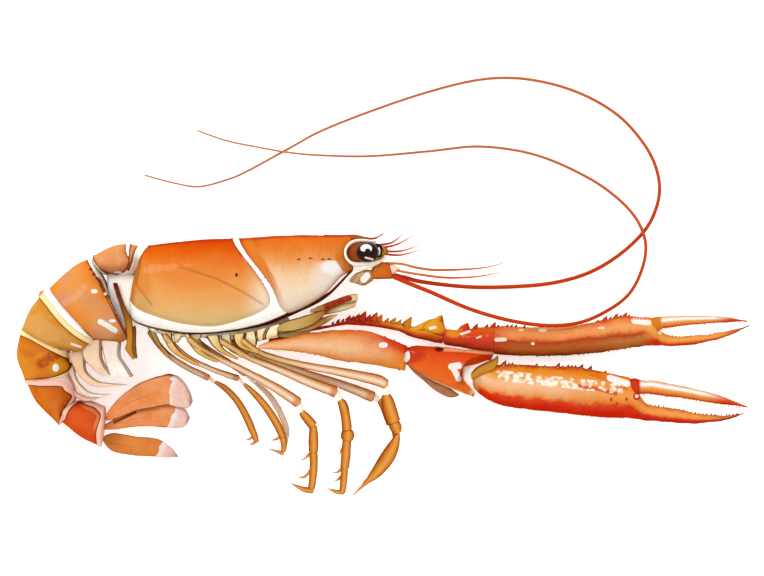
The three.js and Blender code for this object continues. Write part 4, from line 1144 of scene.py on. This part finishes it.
def wrist_right_paint(on, x, drift, wash):
    # Among these marks, the small dark brown spot is a painted shadow, and the two near-white strokes are
    # painted highlights.
    shade = drift.shades("ee7828 f0681a ea5c10 e4500e d8380c").marks("""
        c42c10 0.8 0.8 57.6 -18.6 4 2.4, f4a070 1 0.6 1.2 66.4 -17.2 72 -17.5 81.4 -18.4,
        5e180a 1 0.5 65.6 -17.2 1.3 0.6, b84a14 0.6 0.5 0.8 73.4 -20.4 71.6 -22.6 71.4 -24.6 72.2 -27,
        fdf2ec 1 0.2 2.1 69 -22 70.9 -21.7, fdf2ec 1 0.2 1.8 69.6 -22.6 71 -25.4""")
    return shade.coats(
        1 - on.kept("high").rise(-0.97, -0.9), x.shades("6e200a f0c8a0", 55, 70),
        on.kept("tip").rise(0.1, 0.2), wash.blots("a85a34 c68a62"),
    ), None


def hand_right_paint(on, x, drift, wash):
    peach = drift.shades("cc2006 d82808 e03c10 f3a458 f8b684 fbc496 f8b068 f09a34 ee8a1c d9380e")
    amber = drift.shades("cc2006 d42408 dc3a10 ee8a30 f4a050 f49a40 f2923c ee8a24 e8741c")
    finger = drift.shades("c81a04 cc2006 d62e0a f08a34 f8a04c f9a452 f0903c dc6c20")
    knuckle = on.kept("inside")
    shade = (x + 6 * (wash - 0.5)).rise(94, 116).over(peach, amber).coats(
        x.rise(119, 124), finger,
        knuckle * 0.9, drift.shades("c8842a d08c10 b8780c 6e3410"),
        on.patch(75.4, -25.4, 2, 3.6, 0.6) * (1 - knuckle) * 0.6, "d09c58",
    )
    shade = shade.marks("""
        d92a0c 1 0.2 118.9 -34.9 1.5 1.9, dc3408 0.9 0.6 1.3 104 -27.3 108 -27.9 111.4 -28.6 115 -29.6,
        e06a18 0.7 0.5 1 108 -24.3 112.6 -25.6 115 -27 118 -28.2""")
    band = 1 - abs(on.place()[1] + 0.11 * (x - 82) + 24.4).rise(0.8, 1.9)
    band = band * x.rise(80.5, 83) * (1 - x.rise(114, 118.5))
    glints = (1 - on.cells(1.3).rise(0.3, 0.75)) * band.rise(0.1, 0.6) * on.mottle(2.4, 2).rise(0.34, 0.5)
    shade = (glints * 1.3).over(shade, "fffaea")
    for i in range(9):
        shade = on.patch(111.6 + 0.85 * i, -24.1 - 0.2 * i, 0.34, 0.24).over(shade, "ee9a30")
    # The first of these marks, a white stroke near the top right, is a painted highlight.
    return shade.marks("""
        fffdf8 1 0.2 2 113.4 -25.2 118.3 -26.8, b8401c 1 0.5 113.7 -31.2 0.36 0.5,
        b8401c 1 0.5 115.4 -32.4 0.36 0.5, b8401c 1 0.5 118 -31.1 0.36 0.5,
        cc2408 1 0.2 121 -30.4 1.1 1, fffaf0 1 0.2 121 -30.3 0.6 0.55"""), "6e1c0c"


def hand_left_paint(on, x, drift, wash):
    shade = drift.shades("9c441a b4541c bc5e20 b8581c b8380e f08a44 f59c5c f4985a ee8440")
    far = drift.shades("b85a20 c4702c c8783a b8380c f09850 f4a864 f08a44 dc4018")
    red = drift.shades("a83410 c83418 d03c18 e05c20")
    finger = drift.shades("c83008 d84414 f09038 f8a850 f8a850 e88430")
    shade = (x + 4 * (wash - 0.5)).rise(104, 118).over(shade, far)
    shade = (x + 6 * (wash - 0.5)).rise(78, 88).over(red, shade)
    shade = (x + 2 * (wash - 0.5)).rise(121, 126).over(shade, finger)
    # These pale and white marks are painted glints and highlights.
    shade = shade.marks("fce2d4 1 0.2 1.2 81.6 -14.5 84 -14.4")
    for spot in rows("94.6 -11.9 1.2 0.5, 111 -11.2 1.1 0.3, 91.8 -15.6 0.5 0.4, 88.6 -11.8 0.8 0.3"):
        shade = on.patch(*spot, 0.3, 0.4).over(shade, "fce6d0")
    shade = shade.marks("fffaf0 1 0.2 1.9 120.4 -9.2 124.4 -9.6")
    for i in range(7):
        shade = on.patch(119.8 + 0.8 * i, -8.6 - 0.04 * i, 0.34, 0.26).over(shade, "e08a34")
    shade = shade.marks("d03010 1 0.2 126.6 -15.2 0.9 0.8, fffaf0 1 0.2 127.7 -12.5 0.6 0.5")
    under = (1 - on.kept("high").rise(-0.97, -0.9)) * (1 - x.rise(124, 126))
    return under.over(shade, "541a0a"), x.shades("5a1408 c8300c", 100, 110)


def arm_left_paint(on, x, drift, wash):
    shade = drift.shades("b02c0c d03412 dc4018 e04c20")
    end = drift.shades("8e300e c43c18 d86018 e89a18 eeb020 e08a18")
    shade = (x + 3 * (wash - 0.5)).rise(45, 56).over(shade, end)
    # The near-white stroke is a painted glint.
    shade = shade.marks("f4b020 0.7 0.8 64.6 -11 3.4 1.6, fffae6 1 0.3 0.9 63.1 -11.3 64.5 -11")
    return shade, x.shades("cc2a0c d8861c", 46, 50)


def wrist_left_paint(on, x, drift, wash):
    # The two pale strokes are painted highlights.
    return drift.shades("a83c10 cc3818 dc4418 e06a1c").marks("""
        e8a020 0.8 0.8 69.6 -12.6 1.8 1.4, fff0dc 1 0.3 0.8 71.8 -12.9 74 -12.2,
        fbd8c4 1 0.3 0.6 76.2 -14 77.2 -13.6"""), "b8380c"


def finger_paint(from_x, root):
    def paint(on, x, drift, wash):
        bands = on.kept("high") + 0.24 * (wash - 0.5)
        shade = bands.shades("d03008 e8641c f08c38 f29a48 f4b474 fffaf0 fffdf8 f8c8a0 e88c4c")
        tip = drift.shades("c41c08 d02c0e dc4a18 e88040")
        shade = (on.kept("along") + 0.1 * (wash - 0.5)).rise(0.62, 0.86).over(shade, tip)
        return (1 - x.rise(from_x + 2.6, from_x + 3.4)).over(shade, root), "c8501c"

    return paint


CLAW_PAINTS = {
    "arm_right": arm_right_paint,
    "wrist_right": wrist_right_paint,
    "hand_right": hand_right_paint,
    "finger_right": finger_paint(118.9, "d8300c"),
    "arm_left": arm_left_paint,
    "wrist_left": wrist_left_paint,
    "hand_left": hand_left_paint,
    "finger_left": finger_paint(125, "e0801c"),
}


def claw_paint(key):
    def paint(on):
        wash, fine = on.mottle(4.5, 5), on.mottle(1, 4)
        drift = on.kept("high") + 0.5 * (wash - 0.5) + 0.3 * (fine - 0.5)
        shade, thorn_code = CLAW_PAINTS[key](on, on.place()[0], drift, wash)
        if key.startswith("hand"):
            shade = (on.kept("along").rise(0.84, 1) * 0.9).over(shade, "84260c")
        if thorn_code:
            shade = (on.kept("tip").rise(0.05, 0.5) * 0.85).over(shade, thorn_code)
        return shade, on.cells(1.1) + wash + 0.6 * fine, 0.16

    return paint


rng = random.Random(7)
for key, (heights, flatness, ends, bow, shape) in CLAWS.items():
    hand, grainy = key.startswith("hand"), not key.startswith("finger")
    skin = Skin(profile(rows(shape), *heights, flatness, bow=bow), ends)
    bm = new_piece()
    body = loft(bm, skin, 72, 190 if hand else 110, 0.02)
    high = bm.verts.layers.float["high"]

    def lift(vert, spot):
        beads = max(0, 1 - abs(vert[high] - 0.6) / 0.35) * (0.5 + uneven(spot, 0.7)) * hand
        return 0.12 * uneven(spot, 1.2) + 0.2 * grainy * uneven(spot, 3.4) + 0.3 * beads

    roughen(bm, body, lift)
    for height, thorns in zip(EDGES, THORNS.get(key, ())):
        for x, length in rows(thorns):
            thorn(bm, skin, x, height, length)
    for from_x, to_x, gap, height, length in rows(TEETH[key]) if key in TEETH else ():
        for i in range(int((to_x - from_x) / gap)):
            x = from_x + gap * (i + rng.uniform(-0.25, 0.25))
            thorn(bm, skin, x, height, length * rng.uniform(0.6, 1.3), rng.uniform(-0.1, 0.3))
    if key in BIG_THORNS:
        text, z = BIG_THORNS[key]
        for big_thorn in groups(text):
            loft(bm, Skin(limb(big_thorn, z, z, 0.5), (1, 0.2)), 24, 24)
    if key == "wrist_right":
        loft(bm, Skin(profile(FLAP, 6.4, 4.6, 0.7), (0.4, 0.4)), 24, 30, tip=1)
    if key == "hand_right":
        loft(bm, Skin(profile(KNUCKLE, 8.6, 8.4, 0.8), (0.4, 0.4)), 30, 30, inside=1)
    material = finish("boiled_claw_shell_" + key, claw_paint(key), 0.36, 0, 0.2, 0.1)
    place_piece("claw_shell_" + key, bm, material, "claw_" + key)

# ---- Claw joints
# Short plugs of pale soft skin inside the hollow end of an arm or wrist, which join it to the next part.
CLAW_JOINTS = {
    "arm_right": ("53.4 -16.8 -21.4, 55.6 -17 56 -21, 57.6 -17.6 57.8 -20.4", 8.4),
    "wrist_right": ("72 -20 -27, 75.6 -20.6 74.4 -28.6, 80.4 -19.9 77 -30.6", 5),
}


def joint_skin_paint(on):
    wash = on.mottle(0.8)
    return wash.blots("fdf2e0 fffaf0").brighter(1.2), wash, 0.08


joint_skin = finish("pale_joint_skin", joint_skin_paint, 0.45)
for key, (shape, z) in CLAW_JOINTS.items():
    bm = new_piece()
    loft(bm, Skin(profile(rows(shape), z, z, 0.7), (0.6, 0.6)), 30, 16)
    place_piece("claw_joint_" + key, bm, joint_skin, "claw_" + key, levels=1)

# ---- Walking legs
# Four a side: a long thin upper part, pale with amber edges, and amber lower parts that end in a hook, joined
# by short pale skins. The first pair ends in a broad blade.
# For each leg: heights of hip, knee and tip, its upper part, its lower parts with their barbs, its hip plate.
LEGS = {
    "1_right": (
        (19.4, 7.4, 2.6),
        "10.6 -14.3 0.9, 16.5 -18.2 0.8, 26.6 -21.2 0.95, 37.8 -23.4 1.25, 47.9 -25.7 1.6, 51 -27.2 1.4",
        """
        50.6 -29.8 1.3, 51.2 -32.2 1.9, 52 -35 2, 52.9 -37.8 1.9; 52.8 -37.6 1.6, 53.4 -39.2 1.7,
        54 -40.8 1.1; 54.2 -40.6 0.4, 53.2 -43.4 1.4, 51.2 -47.4 2.1, 48 -51.8 1.6, 45.2 -54.6 0.7,
        41.4 -58.3 0.1; 46.4 -53.4 0.3, 44.2 -54.4 0.06""",
        "11.8 -12.4 8 -13, 11.2 -14.6 8.9 -15.4, 12.4 -16.2 10.6 -16.9, 16 -17.6 15.4 -18.4",
    ),
    "2_right": (
        (19.4, 8, 3),
        "4.8 -14.6 0.9, 12.6 -19.3 0.85, 19.6 -22.1 1, 29 -26.2 1.35, 36.8 -29.2 1.5",
        """
        37.8 -31.2 0.9, 38.6 -33 1.2, 39.4 -36.4 1.35, 39.7 -40 1.4; 39.7 -39.8 1.5, 39.9 -41.2 1.9,
        39.7 -42.8 1.6; 39.7 -42.4 1.2, 39.4 -46.6 1.35, 39 -50.8 1.2; 39 -50.4 1, 38.8 -54.2 1,
        38.3 -57.8 0.9; 39 -57.4 0.8, 36.6 -57.3 0.6, 34 -56.2 0.06; 38.4 -50.6 0.5, 37 -51.8 0.3,
        35.6 -51.8 0.05; 38.4 -44.8 0.4, 37.4 -47.4 0.05""",
        "4.4 -13 0.6 -13.2, 4.9 -15.2 2.2 -15.6, 6.2 -17.2 4.6 -17.9, 9.9 -19.4 9.5 -20",
    ),
    "3_right": (
        (19.4, 7.6, 2.4),
        "-4.2 -13.9 1, -0.3 -17.1 0.9, 4.8 -19.8 0.85, 13 -24 1, 21 -28.6 1.35, 26.4 -32.3 1.5",
        """
        26.9 -34.6 0.9, 28.4 -36.4 1.3, 30.4 -38.8 1.4; 30.3 -38.4 1, 30.3 -42 1.4, 30.3 -46.2 1.35;
        30.3 -46 1.2, 30.3 -51 1.15, 29.7 -56.6 1; 30.4 -57 0.9, 27.4 -56.6 0.75, 23.6 -54.8 0.06;
        29.4 -46.4 0.5, 27.8 -48 0.28, 26.6 -48.3 0.05; 29.6 -51.2 0.5, 27.6 -53.2 0.35, 25.2 -53 0.05""",
        """
        -3.9 -12.8 -5.4 -12.7, -2.4 -15.2 -4 -15.4, -0.6 -17.2 -2 -17.9, 2 -18.9 0.8 -19.6,
        4.8 -20.1 4 -20.8""",
    ),
    "4_right": (
        (19.4, 7.6, 2.8),
        "-10.9 -13 1, -8.1 -16.2 0.9, -4.2 -19.5 0.8, 2 -22.6 0.75, 9.4 -25.4 0.95",
        """
        10.8 -26.8 0.5, 13.2 -29 0.85, 16.4 -32.6 1.05, 19.6 -37.4 1.15, 21.8 -42.2 1; 21.6 -41.8 1,
        22 -44 0.9, 21.8 -46.2 0.6; 22 -46.6 0.7, 20 -46 0.42, 17.5 -45.1 0.05; 21 -41.8 0.5,
        19.6 -42.6 0.35, 18.2 -42.8 0.05""",
        """
        -8.6 -12.4 -11.8 -12.6, -8.4 -14.6 -10.6 -15, -7 -16.9 -9.2 -17.2, -4.6 -18.9 -6.6 -19.2,
        -1 -20.9 -1.8 -21.8""",
    ),
    "1_left": (
        (7, 2.4, 0.9),
        "9.8 -16 0.9, 16 -19.4 0.8, 26.6 -23.3 0.9, 37.8 -27 1.2, 47.4 -30.8 1.6",
        """
        48.8 -31.4 0.8, 50.6 -34 1.4, 52 -38.6 1.2; 52.4 -38.4 0.6, 53.4 -43.4 0.9, 51.4 -47.6 1.2,
        45.8 -54.2 0.1""",
        "9.6 -13.6 7.4 -14, 10 -16 8.4 -16.6, 13 -18 12.6 -18.6",
    ),
    "2_left": (
        (7, 2.4, 0.9),
        "6 -15.6 0.9, 12.6 -19.7 0.8, 22 -23.8 0.75, 30.8 -27.4 0.85, 37.4 -30.4 0.95",
        """
        38.4 -31.4 0.6, 39.2 -34 1.1, 39.6 -40 1; 39.6 -39.8 1, 39.2 -46 1, 38.8 -53 0.8; 38.9 -52.6 0.7,
        37.4 -53.8 0.4, 36 -54.6 0.05""",
        "6.6 -13.4 4.8 -13.6, 7 -16 5.6 -16.4, 9.6 -18.4 9 -18.8",
    ),
    "3_left": (
        (7, 2.2, 0.8),
        "-3 -14.4 0.9, 1.4 -17.6 0.85, 6 -20.6 0.85, 11.4 -24.4 0.9",
        "13.8 -26.6 0.5, 17.6 -30 0.8, 20.8 -34.8 0.85; 20.6 -34.6 0.85, 22.6 -39.8 0.8, 22.6 -44.4 0.2",
        "-1.6 -13 -3.4 -13, -0.6 -15.6 -2 -16, 2.2 -18 1.4 -18.6",
    ),
    "4_left": (
        (7, 2.2, 0.9),
        "-15.7 -11.9 0.9, -13.7 -15.1 0.85, -10.4 -18.8 0.8, -5.6 -22.1 0.85, 1 -25.4 0.95",
        """
        2.4 -26.4 0.5, 5.4 -28.2 0.85, 8.8 -31.8 0.95, 11.4 -36.4 1.05, 13.2 -40.6 1, 14.4 -43.6 0.6;
        13.6 -41.4 0.45, 12.2 -42.6 0.3, 10.8 -42.9 0.05; 14.2 -42.8 0.5, 13.2 -43.9 0.35, 12 -44 0.06""",
        "-14 -10.8 -16.4 -10.6, -13.4 -13.4 -14.8 -13.6, -12 -16 -13.2 -16.4, -9.6 -18.8 -10.6 -19.6",
    ),
}


def upper_leg_paint(on):
    high, along = on.kept("high"), on.kept("along")
    wash = on.mottle(3, 4)
    edge = abs(high + 0.1) + 0.3 * (wash - 0.5)
    hip = edge.shades("ecc888 d8a458 8a4c1c", 0, 1)
    leg = edge.shades("fdecd6 fbdcb8 f6be8a ea9c60 d88448", 0, 1)
    return (along + 0.3 * (wash - 0.5)).rise(0.2, 0.5).over(hip, leg).coats(
        along.rise(0.9, 0.94) * 0.8, wash.blots("e89a50 dc7c34"),
        along.rise(0.975, 1) * 0.6, "b8561c",
        abs(high).rise(0.74, 0.9) * 0.8, "a4481a",
    ), wash, 0.1


def lower_leg_paint(on):
    high = on.kept("high")
    wash = on.mottle(2, 4)
    edge = abs(high - 0.15) + 0.5 * (wash - 0.5)
    return edge.shades("eda850 e69838 dc8628 c8701c a85416", 0, 1).coats(
        abs(high).rise(0.78, 0.92) * 0.85, "8a3c10",
        on.kept("along").rise(0.93, 1) * 0.5, "a24a16",
    ), wash, 0.1


def pale_shank_paint(on):
    wash = on.mottle(2, 4)
    edge = abs(on.kept("high")).rise(0.72, 0.9) * 0.8
    return edge.over(wash.blots("fbe4cc f6d2a8"), "b86a38"), wash, 0.1


def hip_paint(on):
    wash = on.mottle(1.4, 4)
    shade = (on.kept("along") + 0.6 * (wash - 0.5)).shades("f0d494 e8c47c d8a048 e0a458", 0, 1)
    return abs(on.kept("high")).rise(0.6, 0.82).over(shade.brighter(1.15), "561e0c"), wash, 0.12


upper_leg_shell = finish("pale_leg_shell", upper_leg_paint, *SHELL)
lower_leg_shell = finish("amber_leg_shell", lower_leg_paint, *SHELL)
pale_shank_shell = finish("pale_shank_shell", pale_shank_paint, *SHELL)
hip_shell = finish("tan_hip_shell", hip_paint, *SHELL)
for key, ((hip_z, knee_z, tip_z), upper, lowers, hip) in LEGS.items():
    number, side = key.split("_")
    name = "leg_%s_" % number
    upper_node, lower_node = name + "upper_" + side, name + "lower_" + side
    upper, lowers = rows(upper), groups(lowers)
    bm = new_piece()
    roughen(bm, loft(bm, Skin(limb(upper, hip_z, knee_z), (0.8, 0.5)), 28, 70), 0.1, 1.6)
    place_piece(name + "thigh_" + side, bm, upper_leg_shell, upper_node, levels=1)

    bm = new_piece()
    z = MID_Z + dict(SIDES)[side] * 5.2
    roughen(bm, loft(bm, Skin(profile(rows(hip), z, z, depth=0.6), (0.2, 0.5)), 26, 34), 0.1, 1.4)
    place_piece(name + "hip_" + side, bm, hip_shell, upper_node, levels=1)

    bm = new_piece()
    top, foot = lowers[0][0][1], min(lower[-1][1] for lower in lowers)
    slope = (tip_z - knee_z) / (top - foot)
    for lower in lowers:
        lower = [(x, y, knee_z + slope * (top - y), half) for x, y, half in lower]
        roughen(bm, loft(bm, Skin(limb(lower), (0.4, 0.3)), 24, 26), 0.07, 1.2)
    shell = pale_shank_shell if key == "3_left" else lower_leg_shell
    place_piece(name + "shank_" + side, bm, shell, lower_node, levels=1)

    bm = new_piece()
    (x, y, half), (next_x, next_y, next_half) = upper[-1], lowers[0][0]
    knee = [(x - 0.3, y + 0.3, 0.7 * half), (next_x, next_y - 0.4, 0.85 * next_half)]
    loft(bm, Skin(limb(knee, knee_z, knee_z)), 20, 12)
    place_piece(name + "knee_" + side, bm, joint_skin, lower_node, levels=1)

# ---- Table, light and camera
# A plain pale table lit softly from within, a soft studio light, and a camera straight above the animal.
floor_bm = bmesh.new()
bmesh.ops.create_grid(floor_bm, x_segments=1, y_segments=1, size=3)
floor_mesh = bpy.data.meshes.new("table")
floor_bm.to_mesh(floor_mesh)
floor_bm.free()
table = bpy.data.objects.new("table", floor_mesh)
bpy.context.scene.collection.objects.link(table)
table_top = bpy.data.materials.new("pale_table")
table_top.use_nodes = True
table_values = {
    "Base Color": (0.9, 0.9, 0.895, 1),
    "Roughness": 0.9,
    "Specular IOR Level": 0,
    "Emission Color": (1, 1, 1, 1),
    "Emission Strength": 0.5,
}
for socket, value in table_values.items():
    table_top.node_tree.nodes["Principled BSDF"].inputs[socket].default_value = value
table.data.materials.append(table_top)

world = bpy.data.worlds.new("studio")
world.use_nodes = True
background = world.node_tree.nodes["Background"]
background.inputs["Color"].default_value = (1, 0.995, 0.985, 1)
background.inputs["Strength"].default_value = 1.17
bpy.context.scene.world = world

key_light = bpy.data.lights.new("key", "SUN")
key_light.energy = 1.35
key_light.angle = math.radians(24)
key = bpy.data.objects.new("key", key_light)
key.rotation_euler = Vector((0.5, -0.6, -1)).to_track_quat("-Z", "Y").to_euler()
bpy.context.scene.collection.objects.link(key)

LOOK_AT = Vector((-0.93, -0.63, 8)) * MM
CAMERA_HEIGHT = 1.0696  # above the look-at point, which gives 0.28 mm a pixel there
camera = bpy.data.cameras.new("camera")
camera.lens = 180
camera.sensor_width = 36
camera_object = bpy.data.objects.new("camera", camera)
camera_object.location = LOOK_AT + Vector((0, 0, CAMERA_HEIGHT))
bpy.context.scene.collection.objects.link(camera_object)
bpy.context.scene.camera = camera_object
bpy.context.scene.view_settings.view_transform = "Standard"
